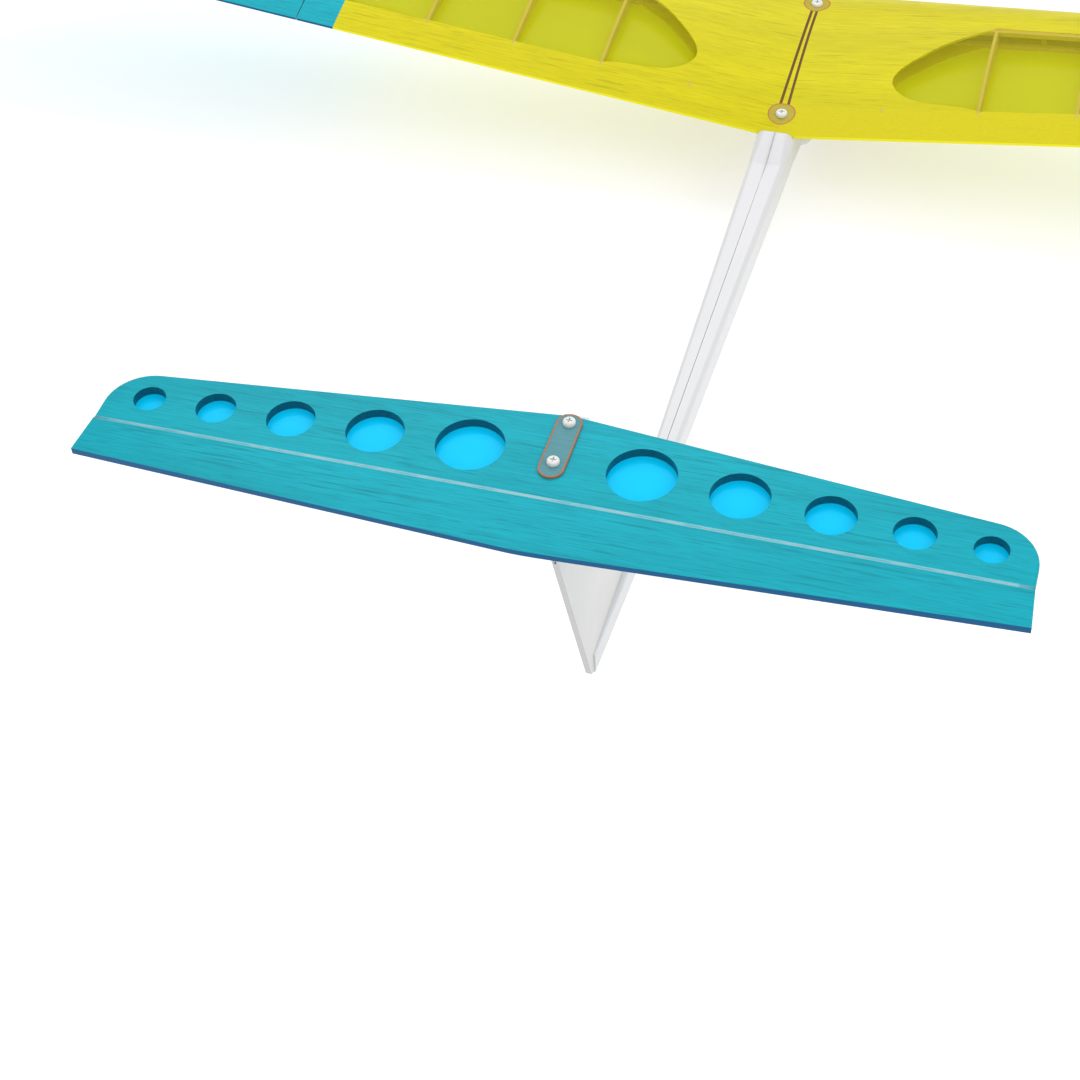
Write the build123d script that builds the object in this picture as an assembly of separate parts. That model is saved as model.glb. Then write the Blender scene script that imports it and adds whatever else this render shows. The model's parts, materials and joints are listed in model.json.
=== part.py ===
from build123d import *
import os
from math import atan2, cos, radians, sin, sqrt, tan

# Built-up balsa hand glider: box-and-boom fuselage, two-piece V wing, T tail.
# Millimetres. +Z up, nose towards -Y, port wing towards +X.
# The origin is on the ground under the middle of the overall length.

# ---- overall layout: stations run aft from the nose tip ----
NOSE_TO_WING = 235.0        # nose tip to the wing's root leading edge
ROOT_CHORD = 148.3
WING_TO_HINGE = 488.8       # wing's root trailing edge to the elevator hinge
ELEVATOR_CHORD = 32.2       # elevator's chord on the centreline
TAIL_TOP = 212.0            # height of the tailplane's top face

# ---- wing ----
WING_TE_HEIGHT = 44.1       # under face of the wing at the root trailing edge
PANEL_LENGTH = 644.0        # one half wing, measured along the panel
COLOUR_BREAK = 304.0        # end of the inner panel, start of the tip panel
DIHEDRAL = 6.25
INCIDENCE = 1.5
LE_SWEEP = 0.067            # the leading edge moves aft by this much per mm of span
TE_SWEEP = 0.028            # the trailing edge moves forward by this much
THICKNESS = 0.085           # share of the chord above the raised nose line
NOSE_RISE = 0.030
TE_DEPTH = 0.0135
UNDER_NOSE = 0.20           # the under face is flat aft of this share of the chord
SHEET = 1.5                 # balsa sheeting
FILM = 0.3                  # covering film over the open bays
RIB_PITCH = 60.5
RIB = 2.0
FIRST_RIB = 64.0
SPAR_SHARE = 0.25           # rear edge of the leading-edge sheeting
SPAR_CAP = 3.5
CAP_DEPTH = 3.0
WEB = 1.5
NOSE_STRIP = 0.035          # leading-edge strip, share of the chord
TE_STRIP = 25.0
RIB_TAB = 3.0
SPLIT_HEIGHT = 3.5          # level in the panel that parts upper from under skin
EGG_TIP = 66.5              # inboard end of the rounded root-bay opening
ROOT_RIB_IN = 2.4
ROOT_RIB = 1.8

# ---- wing bolts and their seats ----
FRONT_BOLT = 22.6           # aft of the root leading edge
REAR_BOLT = 18.0            # ahead of the root trailing edge
WASHER_DIAMETER = 18.0
WASHER = 1.8
WING_BOLT = 4.0
WING_HEAD = 7.6
WING_HEAD_HEIGHT = 2.6
HEAD_GAP = 0.1
BOLT_CLEARANCE = 0.15
BOLT_FIT = 0.05             # bolt in its threaded plate
BOLT_PLATE = 4.0

# ---- tip panel and aileron ----
AILERON_START = COLOUR_BREAK + 26.0
AILERON_END = PANEL_LENGTH - 44.0
AILERON_CHORD = 36.0        # at the inboard end
TIP_CAP_START = PANEL_LENGTH - 26.0
FALSE_SPAR = 4.0
TIP_RADIUS = 34.0

# ---- hinges ----
HINGE_GAP = 0.5
BEVEL = 28.0
END_GAP = 0.6

# ---- fuselage ----
HATCH_START = 60.0
HATCH_TO_WING = 30.0        # deck between the hatch and the wing
BAY_TO_WING = 15.0          # bay's rear bulkhead, ahead of the wing
HATCH_BOTTOM = 40.0
HATCH_GAP = 0.3
NOSE_BLOCK = 42.0
WEIGHT = 22.0               # nose weight: a lead rod in the nose block's bore
WEIGHT_START = 26.0
WEIGHT_LENGTH = 62.0
WEIGHT_HEIGHT = 26.5
POD_HALF_WIDTH = 19.0
POD_TOP = 56.0
BOOM_TOP_FRONT = 43.5
BOOM_TOP_REAR = 36.4
BOOM_BOTTOM = 21.0
WALL = 2.5
BOOM_WALL = 1.6
SEAM = 0.3
FORMER = 3.0
FORMER_PORT = 14.0                  # hole for the leads through each former
FORMER_PORT_HEIGHT = 14.0           # height of that hole's middle
REAR_FORMER_AHEAD = 42.0            # last former ahead of the wing's trailing edge
BOLT_PLATE_LENGTH = 16.0
BATTERY_GAP = 3.0                   # behind the first former
BATTERY_LENGTH = 50.0
BATTERY_WIDTH = 30.0
BATTERY_HEIGHT = 15.0
RECEIVER_SETBACK = 6.0              # behind the battery's front
RECEIVER_LENGTH = 34.0
RECEIVER_WIDTH = 20.0
RECEIVER_HEIGHT = 9.0
SERVO_TRAY = 2.0                    # thickness
SERVO_TRAY_MARGIN = 9.0             # longer than the servo by this
WING_BOLT_END = 2.0                 # stands out under the bolt plate
TAIL_BOLT_REACH = 8.0               # into the fin's foot under the tailplane
CHANNEL_CLEARANCE = 0.35            # round the wire inside the fin
FIRST_FORMER = 92.0
FORMER_TO_WING = 33.0       # third former, aft of the wing's leading edge
FIN_ROOT_TO_HINGE = 172.1   # where the fin starts on the boom
FIN_BLOCK = 4.0             # solid boom ahead of the fin
BOOM_END_TO_HINGE = 57.1

# ---- tail ----
TAIL_THICKNESS = 4.8
TAIL_HALF_SPAN = 215.5
TAIL_FRONT = 53.2           # root leading edge ahead of the hinge
TAIL_LE_SWEEP = 0.101
TAIL_TE_SWEEP = 0.050
TAIL_EDGE = 2.8             # elevator's trailing-edge thickness
TAIL_CORNER = 22.0
TAIL_FILM = 0.15
HOLES = [(40.0, 16.0), (84.9, 13.6), (125.4, 11.45), (162.0, 9.5), (194.8, 7.7)]
HOLE_LINE = 26.2            # hole centres ahead of the hinge at the centreline
HOLE_SWEEP = 0.0455
TAIL_PLATE_LENGTH = 40.7
TAIL_PLATE_WIDTH = 12.2
TAIL_PLATE = 1.0
TAIL_PLATE_REAR = 12.1      # plate's rear end ahead of the hinge
TAIL_BOLTS = [21.5, 46.9]
TAIL_BOLT = 3.0
TAIL_HEAD = 6.0
TAIL_HEAD_HEIGHT = 2.0
FIN = 3.2
FIN_SWEEP = 0.30            # trailing edge, aft per mm of height
FIN_FOOT = 4.5              # trailing edge's foot, aft of the boom's end
MOUNT_WIDTH = 12.0
MOUNT_HEIGHT = 12.0

# ---- control linkages ----
THROW = 20.0                # each way, at every control surface
PLATE = 1.6                 # horns and servo arms
PLATE_GAP = 0.55            # clear space between a wire and the plate beside it
WIRE = 0.9
SLOT_CLEARANCE = 0.40
SERVO_LENGTH = 20.0
SERVO_DEPTH = 12.0          # along the output shaft
SERVO_HEIGHT = 8.5
SHAFT = 4.0
SHAFT_GAP = 0.05
AILERON_HORN = 12.0         # wire below the hinge line
AILERON_ARM = 9.5
AILERON_WIRE_IN = 11.0      # wire outboard of the aileron's inner end
AILERON_WIRE_LENGTH = 35.0
AILERON_CASE_AHEAD = 9.0    # servo case ahead of its shaft
TRAY = 0.8
ELEVATOR_HORN_AFT = 13.0    # wire's pin aft of and below the hinge line
ELEVATOR_HORN_DROP = 7.0
ELEVATOR_ARM = 12.0
SERVO_TO_WING = 48.0        # elevator servo's shaft, aft of the wing's leading edge
TUBE = 2.0
TUBE_BORE = 1.1
TUBE_FIT = 0.05             # groove round the guide tube
TUBE_HEIGHT = 29.0
TUBE_FROM_SERVO = 44.0
TUBE_TOP = 142.0
TUBE_BEND = 60.0

WING_TE = NOSE_TO_WING + ROOT_CHORD
HINGE = WING_TE + WING_TO_HINGE
LENGTH = HINGE + ELEVATOR_CHORD
HATCH_END = NOSE_TO_WING - HATCH_TO_WING
BAY_END = NOSE_TO_WING - BAY_TO_WING
FIN_ROOT = HINGE - FIN_ROOT_TO_HINGE
BOOM_END = HINGE - BOOM_END_TO_HINGE
WING_LE_HEIGHT = WING_TE_HEIGHT + ROOT_CHORD * sin(radians(INCIDENCE))
TAIL_UNDER = TAIL_TOP - TAIL_THICKNESS
FAR = 2000.0


def aft(station):
    """Y of a station measured from the nose tip."""
    return station - LENGTH / 2


def save(name, *solids):
    """Write one sub-part, as a compound where it has several solids."""
    found = []
    for item in solids:
        found += list(item.solids())
    shape = found[0] if len(found) == 1 else Compound(children=found)
    shape.label = name
    export_step(shape, f"parts/{name}.step")


def slab(x0, x1, y0, y1, z0, z1):
    """A box between two corners."""
    corner = Pos((x0 + x1) / 2, (y0 + y1) / 2, (z0 + z1) / 2)
    return corner * Box(x1 - x0, y1 - y0, z1 - z0)


def prism(points, low, high):
    """An upright prism on a plan outline."""
    return Pos(0, 0, low) * extrude(make_face(Polyline(*points, close=True)), high - low)


def side_prism(points, x0, x1):
    """A prism across the body from a (y, z) outline."""
    face = make_face(Plane.YZ * Polyline(*points, close=True))
    return Pos(x0, 0, 0) * extrude(face, x1 - x0, dir=(1, 0, 0))


def upright(radius, x, y, z0, z1):
    """A cylinder along Z."""
    return Pos(x, y, (z0 + z1) / 2) * Cylinder(radius, z1 - z0)


def across(radius, x0, x1, y, z):
    """A cylinder along X."""
    return Pos((x0 + x1) / 2, y, z) * Rot(0, 90, 0) * Cylinder(radius, x1 - x0)


def lengthwise(radius, x, y0, y1, z):
    """A cylinder along Y."""
    return Pos(x, (y0 + y1) / 2, z) * Rot(90, 0, 0) * Cylinder(radius, y1 - y0)


# ======================= wing section =======================
def chord(u):
    return ROOT_CHORD - (LE_SWEEP + TE_SWEEP) * u


def le(u):
    return LE_SWEEP * u


def te(u):
    return ROOT_CHORD - TE_SWEEP * u


def upper(x):
    """Upper face of the section, as a share of the chord."""
    bulge = 2.969 * sqrt(x) - 1.26 * x - 3.516 * x**2 + 2.843 * x**3 - 1.036 * x**4
    return THICKNESS * bulge + NOSE_RISE * (1 - x) ** 3 + TE_DEPTH * x


def under(x):
    """Under face of the section, flat but for the nose."""
    if x >= UNDER_NOSE:
        return 0.0
    return NOSE_RISE * (1 - sqrt(x / UNDER_NOSE)) ** 2


def smooth_section(u):
    """The outside of the wing at one span position."""
    c = chord(u)
    y0 = le(u)

    def at(x, share):
        return (u, y0 + x * c, share * c)

    top_steps = [0, 0.006, 0.025, 0.06, 0.11, 0.18, 0.28, 0.40, 0.54, 0.68, 0.84, 1.0]
    nose_steps = [UNDER_NOSE, 0.13, 0.07, 0.03, 0.008, 0]
    top = Spline(*[at(x, upper(x)) for x in top_steps])
    nose = Spline(*[at(x, under(x)) for x in nose_steps])
    edge = Line(at(1.0, TE_DEPTH), at(1.0, 0))
    flat = Line(at(1.0, 0), at(UNDER_NOSE, 0))
    return make_face([top, edge, flat, nose])


SKIN_STEPS = [0.03, 0.06, 0.11, 0.18, 0.27, 0.38, 0.50, 0.62, 0.74, 0.86]
SPAR_STEPS = [0.18, 0.27, 0.38]


def inset_section(u, inset, steps):
    """A faceted section set in from the outside by one skin thickness."""
    c = chord(u)
    y0 = le(u)
    low_steps = [x for x in reversed(steps) if x <= UNDER_NOSE or x == steps[-1]]
    top = [(u, y0 + x * c, upper(x) * c - inset) for x in steps]
    low = [(u, y0 + x * c, under(x) * c + inset) for x in low_steps]
    return make_face(Polyline(*top, *low, close=True))


INBOARD = -5.0
OUTSIDE = loft([smooth_section(INBOARD), smooth_section(PANEL_LENGTH)], ruled=True)


def core(inset, steps=SKIN_STEPS, end=PANEL_LENGTH):
    """Space inside a skin of one thickness."""
    return loft([inset_section(INBOARD, inset, steps), inset_section(end, inset, steps)], ruled=True)


UNDER_FILM = core(FILM)
UNDER_SHEET = core(SHEET)
UNDER_CAP = core(FILM + CAP_DEPTH, SPAR_STEPS)
ROOT_CUT = Rot(0, DIHEDRAL, 0) * slab(-FAR, 0, -FAR, FAR, -FAR, FAR)


def spar_y(u):
    return le(u) + SPAR_SHARE * chord(u)


def strip_y(u):
    return le(u) + NOSE_STRIP * chord(u)


def te_front(u):
    return te(u) - TE_STRIP


def band(u0, u1, front, rear, low=-5.0, high=30.0):
    """Everything between two span positions and two chordwise lines."""
    points = [(u0, front(u0)), (u1, front(u1)), (u1, rear(u1)), (u0, rear(u0))]
    return prism(points, low, high)


def root_opening():
    """Rounded opening of the sheeted root bay: an egg on its side, blunt end inboard."""
    rib = FIRST_RIB + RIB_PITCH
    front = spar_y(rib)
    rear = te_front(rib)
    reach = rib - EGG_TIP
    depth = rear - front

    def at(across_share, depth_share):
        return (rib - reach * across_share, front + depth * depth_share)

    nose = Spline(at(0, 0), at(0.42, 0.18), at(0.80, 0.43), at(1.0, 0.72),
                  at(0.86, 0.86), at(0.44, 0.945), at(0, 1.0))
    outline = make_face([nose, Line(at(0, 1.0), at(0, 0))])
    return extrude(outline, 60, dir=(0, 0, 1), both=True)


def place(shape, side):
    """Carry a panel piece to its side of the glider."""
    moved = Pos(0, aft(NOSE_TO_WING), WING_LE_HEIGHT) * Rot(-INCIDENCE, 0, 0) * Rot(0, -DIHEDRAL, 0) * shape
    return moved if side > 0 else mirror(moved, about=Plane.YZ)


def ribs(places, sheets, front, rear):
    """Ribs between two chordwise lines, cut round the skins that lie over them."""
    made = []
    for u in places:
        rib = UNDER_FILM & band(u - RIB / 2, u + RIB / 2, front, rear)
        for sheet in sheets:
            rib = rib - sheet
        made += list(rib.solids())
    return made


def spar_caps(u0, u1, sheets):
    """Upper and under spar caps, just behind the leading-edge sheeting."""
    zone = band(u0, u1, spar_y, lambda u: spar_y(u) + SPAR_CAP)
    caps = (UNDER_FILM - UNDER_CAP) & zone
    for sheet in sheets:
        caps = caps - sheet
    return caps


def spar_web(u0, u1, posts):
    """Ladder web between the caps, open between its posts."""
    web = UNDER_CAP & band(u0, u1, spar_y, lambda u: spar_y(u) + WEB)
    window = core(FILM + CAP_DEPTH + 1.0, SPAR_STEPS, COLOUR_BREAK)
    for start, end in zip(posts, posts[1:]):
        web = web - (window & slab(start + 1.6, end - 1.6, -FAR, FAR, -FAR, FAR))
    return web


# ======================= inner wing panel =======================
def inner_panel():
    """Pieces of one inner panel, in the panel's own frame."""
    second_rib = FIRST_RIB + RIB_PITCH
    places = [FIRST_RIB + RIB_PITCH * n for n in range(4)]
    last = COLOUR_BREAK
    egg = root_opening()
    skin = OUTSIDE - UNDER_SHEET

    bolt_band = slab(ROOT_RIB_IN, ROOT_RIB_IN + ROOT_RIB, FRONT_BOLT, ROOT_CHORD - REAR_BOLT, -FAR, FAR)
    rib_slab = band(ROOT_RIB_IN, ROOT_RIB_IN + ROOT_RIB, strip_y, te_front)
    root_rib = (UNDER_SHEET & rib_slab) + (OUTSIDE & bolt_band & rib_slab)

    plan = band(INBOARD, last, strip_y, spar_y) + band(INBOARD, second_rib, spar_y, te_front)
    sheet = (skin & plan) - egg - root_rib
    top = sheet & slab(-FAR, FAR, -FAR, FAR, SPLIT_HEIGHT, FAR)
    low = sheet & slab(-FAR, FAR, -FAR, FAR, -FAR, SPLIT_HEIGHT)

    open_zone = band(second_rib, last, spar_y, te_front) + (band(FIRST_RIB, second_rib, spar_y, te_front) & egg)
    film = (OUTSIDE - UNDER_FILM) & open_zone

    caps = spar_caps(ROOT_RIB_IN + ROOT_RIB, last, [top, low])
    posts = [FIRST_RIB + RIB_PITCH / 2 * n for n in range(8)] + [last]
    web = spar_web(ROOT_RIB_IN + ROOT_RIB, last, posts)

    edge = (OUTSIDE & band(INBOARD, last, te_front, lambda u: te(u) + 5)) - root_rib
    rib_set = ribs(places, [top, low, caps, web], strip_y, te_front)
    tabs = []
    for u in places:
        tab = OUTSIDE & band(u - RIB / 2, u + RIB / 2, te_front, lambda v: te_front(v) + RIB_TAB)
        edge = edge - tab
        tabs += list(tab.solids())
    nose = OUTSIDE & band(INBOARD, last, lambda u: le(u) - 5, strip_y)

    trimmed = [solid - ROOT_CUT for solid in (top, low, nose, edge)]
    return {"root_ribs": [root_rib], "upper_sheeting": [trimmed[0]], "under_sheeting": [trimmed[1]],
            "leading_edge": [trimmed[2]], "spar_caps": [caps], "spar_webs": [web],
            "trailing_edge": [trimmed[3]], "covering": [film], "wing_ribs": rib_set + tabs}


# ======================= tip panel =======================
HINGE_LINE = te(AILERON_START) - AILERON_CHORD


def surface_height(u):
    """Height of the upper face over the aileron's hinge line."""
    return upper((HINGE_LINE - le(u)) / chord(u)) * chord(u)


HINGE_LIP = 0.6             # upright part of a moving surface's front, under the hinge line


def hinge_bevel(y, x0, z0, x1, z1, depth):
    """Wedge cut from a moving surface's front, along a hinge line from one end to the other."""
    lean = depth * tan(radians(BEVEL))
    front = y + HINGE_GAP / 2

    def at(x, z):
        points = [(x, y - 6, z + 8), (x, front, z + 8), (x, front, z - HINGE_LIP),
                  (x, front + lean, z - HINGE_LIP - depth), (x, y - 6, z - HINGE_LIP - depth)]
        return make_face(Polyline(*points, close=True))

    return loft([at(x0, z0), at(x1, z1)], ruled=True)


def tip_panel():
    """Pieces of one tip panel, in the panel's own frame."""
    start = COLOUR_BREAK
    end = TIP_CAP_START
    skin = OUTSIDE - UNDER_SHEET
    count = int((end - start - 20) / RIB_PITCH) + 1
    places = [start + 1 + RIB_PITCH * n for n in range(count)] + [end - 1]

    def rear_front(u):
        return HINGE_LINE - HINGE_GAP / 2 - FALSE_SPAR

    plan = band(start, end, strip_y, spar_y)
    top = (skin & plan) & slab(-FAR, FAR, -FAR, FAR, SPLIT_HEIGHT, FAR)
    low = (skin & plan) & slab(-FAR, FAR, -FAR, FAR, -FAR, SPLIT_HEIGHT)
    film = (OUTSIDE - UNDER_FILM) & band(start, end, spar_y, rear_front)
    caps = spar_caps(start, end, [])
    rib_set = ribs(places, [top, low, caps], strip_y, rear_front)
    nose = OUTSIDE & band(start, end, lambda u: le(u) - 5, strip_y)

    aileron_zone = band(AILERON_START, AILERON_END, lambda u: HINGE_LINE - HINGE_GAP / 2,
                        lambda u: te(u) + 5)
    rear = (OUTSIDE & band(start, end, rear_front, lambda u: te(u) + 5)) - aileron_zone
    aileron = OUTSIDE & band(AILERON_START + END_GAP, AILERON_END - END_GAP,
                             lambda u: HINGE_LINE + HINGE_GAP / 2, lambda u: te(u) + 5)
    aileron = aileron - hinge_bevel(HINGE_LINE, AILERON_START, surface_height(AILERON_START),
                                    AILERON_END, surface_height(AILERON_END), 8.0)

    cap_zone = band(end, PANEL_LENGTH, lambda u: le(u) - 5, lambda u: te(u) + 5)
    outline = make_face(Polyline((end - 40, le(end - 40)), (PANEL_LENGTH, le(PANEL_LENGTH)),
                                 (PANEL_LENGTH, te(PANEL_LENGTH)), (end - 40, te(end - 40)), close=True))
    corners = outline.vertices().sort_by(Axis.X)[-2:]
    outline = fillet(corners, TIP_RADIUS)
    cap = (OUTSIDE & cap_zone) & extrude(outline, 60, both=True)

    return {"tip_sheeting": [top, low], "tip_covering": [film], "spar_caps": [caps],
            "wing_ribs": rib_set, "tip_leading_edge": [nose], "tip_trailing_edge": [rear],
            "tip_block": [cap], "aileron": [aileron]}


# ======================= fuselage =======================
def pod_section(station, half_width, low, high, radius):
    """Rounded box section at one station."""
    middle = Plane(origin=(0, aft(station), (low + high) / 2), x_dir=(1, 0, 0), z_dir=(0, 1, 0))
    return middle * RectangleRounded(2 * half_width, high - low, radius)


POD_START = 85.0
POD_FULL_END = NOSE_TO_WING + FORMER_TO_WING + FORMER + SERVO_LENGTH + SERVO_TRAY_MARGIN + 3.0
POD_WIDE_END = NOSE_TO_WING + 95.0
POD_HEEL = POD_WIDE_END + 24.0
POD_WAIST = WING_TE + 26.0
HEEL_HALF_WIDTH = 12.6
HEEL_BOTTOM = 16.0
WING_TE_HALF_WIDTH = 12.2
BOOM_KNEE = FIN_ROOT + 45.0


def boom_top(station):
    """Height of the boom's top face."""
    run = (station - WING_TE) / (BOOM_END - WING_TE)
    return BOOM_TOP_FRONT + run * (BOOM_TOP_REAR - BOOM_TOP_FRONT)


def boom_half_width(station):
    """Half width of the boom: an even taper, then a quicker one beside the fin."""
    waist = 11.6
    before_fin = 5.2
    end = 2.5
    if station <= BOOM_KNEE:
        return waist + (before_fin - waist) * (station - POD_WAIST) / (BOOM_KNEE - POD_WAIST)
    return before_fin + (end - before_fin) * (station - BOOM_KNEE) / (BOOM_END - BOOM_KNEE)


def fuselage_outside():
    """The whole fuselage as one solid: rounded nose, pod, boom."""
    blunt = 0.05
    nose = []
    for step in (0, 0.18, 0.39, 0.60, 0.81, 1.0):
        grow = sin(radians(90 * (blunt + (1 - blunt) * step)))
        station = POD_START * (1 - cos(radians(90 * step)))
        low = 22 * (1 - grow)
        high = 26 + 25 * grow
        half = POD_HALF_WIDTH * grow
        nose.append(pod_section(station, half, low, high, min(0.42 * min(2 * half, high - low), 8)))
    pod = [nose[-1], pod_section(150, POD_HALF_WIDTH, 0, POD_TOP, 8),
           pod_section(POD_FULL_END, POD_HALF_WIDTH, 0, POD_TOP, 8),
           pod_section(POD_WIDE_END, HEEL_HALF_WIDTH + 1.0, 0, POD_TOP, 8),
           pod_section(POD_HEEL, HEEL_HALF_WIDTH, HEEL_BOTTOM, POD_TOP, 8),
           pod_section(WING_TE, WING_TE_HALF_WIDTH, BOOM_BOTTOM, BOOM_TOP_FRONT + 6, 6),
           pod_section(POD_WAIST, boom_half_width(POD_WAIST), BOOM_BOTTOM, boom_top(POD_WAIST), 3.4)]
    boom = [pod[-1]]
    for station, radius in ((BOOM_KNEE, 2.6), (BOOM_END, 1.6)):
        boom.append(pod_section(station, boom_half_width(station), BOOM_BOTTOM, boom_top(station), radius))
    body = loft(nose) + loft(pod, ruled=True) + loft(boom, ruled=True)
    return body & slab(-FAR, FAR, -FAR, FAR, 0, FAR)


def inner_section(station, half_width, low, high):
    """Plain box section of the space inside."""
    middle = Plane(origin=(0, aft(station), (low + high) / 2), x_dir=(1, 0, 0), z_dir=(0, 1, 0))
    return middle * Rectangle(2 * half_width, high - low)


BAY_TOP = POD_TOP - WALL
SADDLE_UNDER = WING_TE_HEIGHT - 3.0


def pod_space():
    """Space inside the pod, taller ahead of the wing than under it."""
    wide = POD_HALF_WIDTH - WALL
    front = loft([inner_section(NOSE_BLOCK, 11.5, 12, 42), inner_section(90, wide, WALL, 47),
                  inner_section(150, wide, WALL, BAY_TOP), inner_section(BAY_END, wide, WALL, BAY_TOP)],
                 ruled=True)
    rear = loft([inner_section(BAY_END - 1, wide, WALL, SADDLE_UNDER),
                 inner_section(POD_FULL_END, wide, WALL, SADDLE_UNDER),
                 inner_section(POD_WIDE_END, HEEL_HALF_WIDTH - WALL, WALL + 2, SADDLE_UNDER),
                 inner_section(POD_HEEL, HEEL_HALF_WIDTH - WALL, HEEL_BOTTOM + WALL + 2, SADDLE_UNDER),
                 inner_section(WING_TE, 8.8, BOOM_BOTTOM + WALL, SADDLE_UNDER)], ruled=True)
    return front + rear


def boom_space():
    """Space inside the boom, as far as the fin."""
    sections = []
    for station in (WING_TE - 0.01, POD_WAIST, FIN_ROOT - FIN_BLOCK):
        half = boom_half_width(max(station, POD_WAIST)) - BOOM_WALL
        sections.append(inner_section(station, half, BOOM_BOTTOM + BOOM_WALL, boom_top(station) - BOOM_WALL))
    return loft(sections, ruled=True)


def saddle_cutter():
    """Everything above the wing's under faces, where the wing sits."""
    above = slab(-5, 60, -1.5, ROOT_CHORD + 0.6, 0, 60)
    return place(above, 1) + place(above, -1)


# ======================= tail =======================
HINGE_Y = aft(HINGE)


def tailplane():
    """Fixed tailplane: flat sheet, swept edges, rounded tips, a row of round holes."""
    tip = TAIL_FRONT - TAIL_LE_SWEEP * TAIL_HALF_SPAN
    rear = HINGE_Y - HINGE_GAP / 2
    outline = make_face(Polyline(
        (0, HINGE_Y - TAIL_FRONT), (TAIL_HALF_SPAN, HINGE_Y - tip), (TAIL_HALF_SPAN, rear),
        (-TAIL_HALF_SPAN, rear), (-TAIL_HALF_SPAN, HINGE_Y - tip), close=True))
    corners = [v for v in outline.vertices() if abs(v.X) > 100 and v.Y < rear - 5]
    outline = fillet(corners, TAIL_CORNER)
    sheet = Pos(0, 0, TAIL_UNDER) * extrude(outline, TAIL_THICKNESS)
    nose_edges = [e for e in sheet.edges() if e.center().Y < rear - 2
                  and (abs(e.center().Z - TAIL_TOP) < 0.01 or abs(e.center().Z - TAIL_UNDER) < 0.01)]
    sheet = fillet(nose_edges, 1.0)
    for x, radius in HOLES:
        for side in (1, -1):
            sheet = sheet - upright(radius, side * x, hole_y(x), TAIL_UNDER - 1, TAIL_TOP + 1)
    return sheet


def hole_y(x):
    return HINGE_Y - (HOLE_LINE - HOLE_SWEEP * x)


def tail_discs(low):
    """Covering film across every hole of the tailplane, at one face."""
    discs = []
    for x, radius in HOLES:
        for side in (1, -1):
            discs.append(upright(radius, side * x, hole_y(x), low, low + TAIL_FILM))
    return discs


def elevator_under(back):
    """Height of the elevator's under face, at one distance aft of the hinge."""
    return TAIL_UNDER + (TAIL_THICKNESS - TAIL_EDGE) * back / ELEVATOR_CHORD


def elevator():
    """Elevator: one full-span piece, level on top and tapered underneath."""
    front = HINGE_Y + HINGE_GAP / 2
    tip_y = HINGE_Y + ELEVATOR_CHORD - TAIL_TE_SWEEP * TAIL_HALF_SPAN
    outline = make_face(Polyline(
        (-TAIL_HALF_SPAN, front), (TAIL_HALF_SPAN, front), (TAIL_HALF_SPAN + 1.5, tip_y),
        (0, HINGE_Y + ELEVATOR_CHORD), (-TAIL_HALF_SPAN - 1.5, tip_y), close=True))
    middle = [v for v in outline.vertices() if abs(v.X) < 1]
    outline = fillet(middle, 150)
    side = [(HINGE_Y, TAIL_TOP), (HINGE_Y + ELEVATOR_CHORD, TAIL_TOP),
            (HINGE_Y + ELEVATOR_CHORD, elevator_under(ELEVATOR_CHORD)), (HINGE_Y, elevator_under(0))]
    body = Pos(0, 0, TAIL_UNDER - 5) * extrude(outline, 20) & side_prism(side, -FAR / 4, FAR / 4)
    span = TAIL_HALF_SPAN + 5
    return body - hinge_bevel(HINGE_Y, -span, TAIL_TOP, span, TAIL_TOP, 6.0)


MOUNT_LOW = TAIL_UNDER - MOUNT_HEIGHT
FIN_TOP = MOUNT_LOW + 2.0
MOUNT_FRONT = HINGE - 58.0
MOUNT_REAR = HINGE - 4.5


def fin():
    """Fin sheet: from the boom's floor up to the tailplane's mounting block."""
    floor = BOOM_BOTTOM + BOOM_WALL
    foot = BOOM_END + FIN_FOOT
    foot_z = floor + 2.4
    kink = foot_z + (MOUNT_REAR - foot) / FIN_SWEEP
    points = [(FIN_ROOT, boom_top(FIN_ROOT) - BOOM_WALL), (FIN_ROOT + 22, floor), (BOOM_END + 1, floor),
              (foot, foot_z), (MOUNT_REAR, kink), (MOUNT_REAR, FIN_TOP), (MOUNT_FRONT, FIN_TOP)]
    sheet = side_prism([(aft(s), z) for s, z in points], -FIN / 2, FIN / 2)
    front = [e for e in sheet.edges() if e.length > 100 and e.center().Y < aft(BOOM_END - 35)]
    return fillet(front, 1.2)


# ======================= control linkages =======================
def slotted(outline, reach, direction, x0, swing):
    """A horn or arm: a plate with a slot that runs outward from the wire's pin.

    outline and direction are in (y, z) from the pivot, reach is the pin's radius at rest,
    and swing is how far the plate turns each way.
    """
    radius = WIRE / 2 + SLOT_CLEARANCE
    along = (reach, reach / cos(radians(swing)))
    side = (-direction[1] * radius, direction[0] * radius)
    x1 = x0 + PLATE
    corners = []
    for distance, sign in ((along[0], 1), (along[1], 1), (along[1], -1), (along[0], -1)):
        corners.append((direction[0] * distance + sign * side[0], direction[1] * distance + sign * side[1]))
    slot = side_prism(corners, x0 - 1, x1 + 1)
    for distance in along:
        slot = slot + across(radius, x0 - 1, x1 + 1, direction[0] * distance, direction[1] * distance)
    return side_prism(outline, x0, x1) - slot


def wire(x, start, end, pins, pin_end):
    """A stiff wire in the plane x between two (y, z) points, with its pins bent sideways."""
    run = Edge.make_line((x, *start), (x, *end))
    rod = sweep(Plane(origin=(x, *start), z_dir=run % 0) * Circle(WIRE / 2), path=run)
    for y, z in pins:
        rod = rod + Pos(x, y, z) * Sphere(WIRE / 2)
        rod = rod + across(WIRE / 2, min(x, pin_end), max(x, pin_end), y, z)
    return rod


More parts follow.
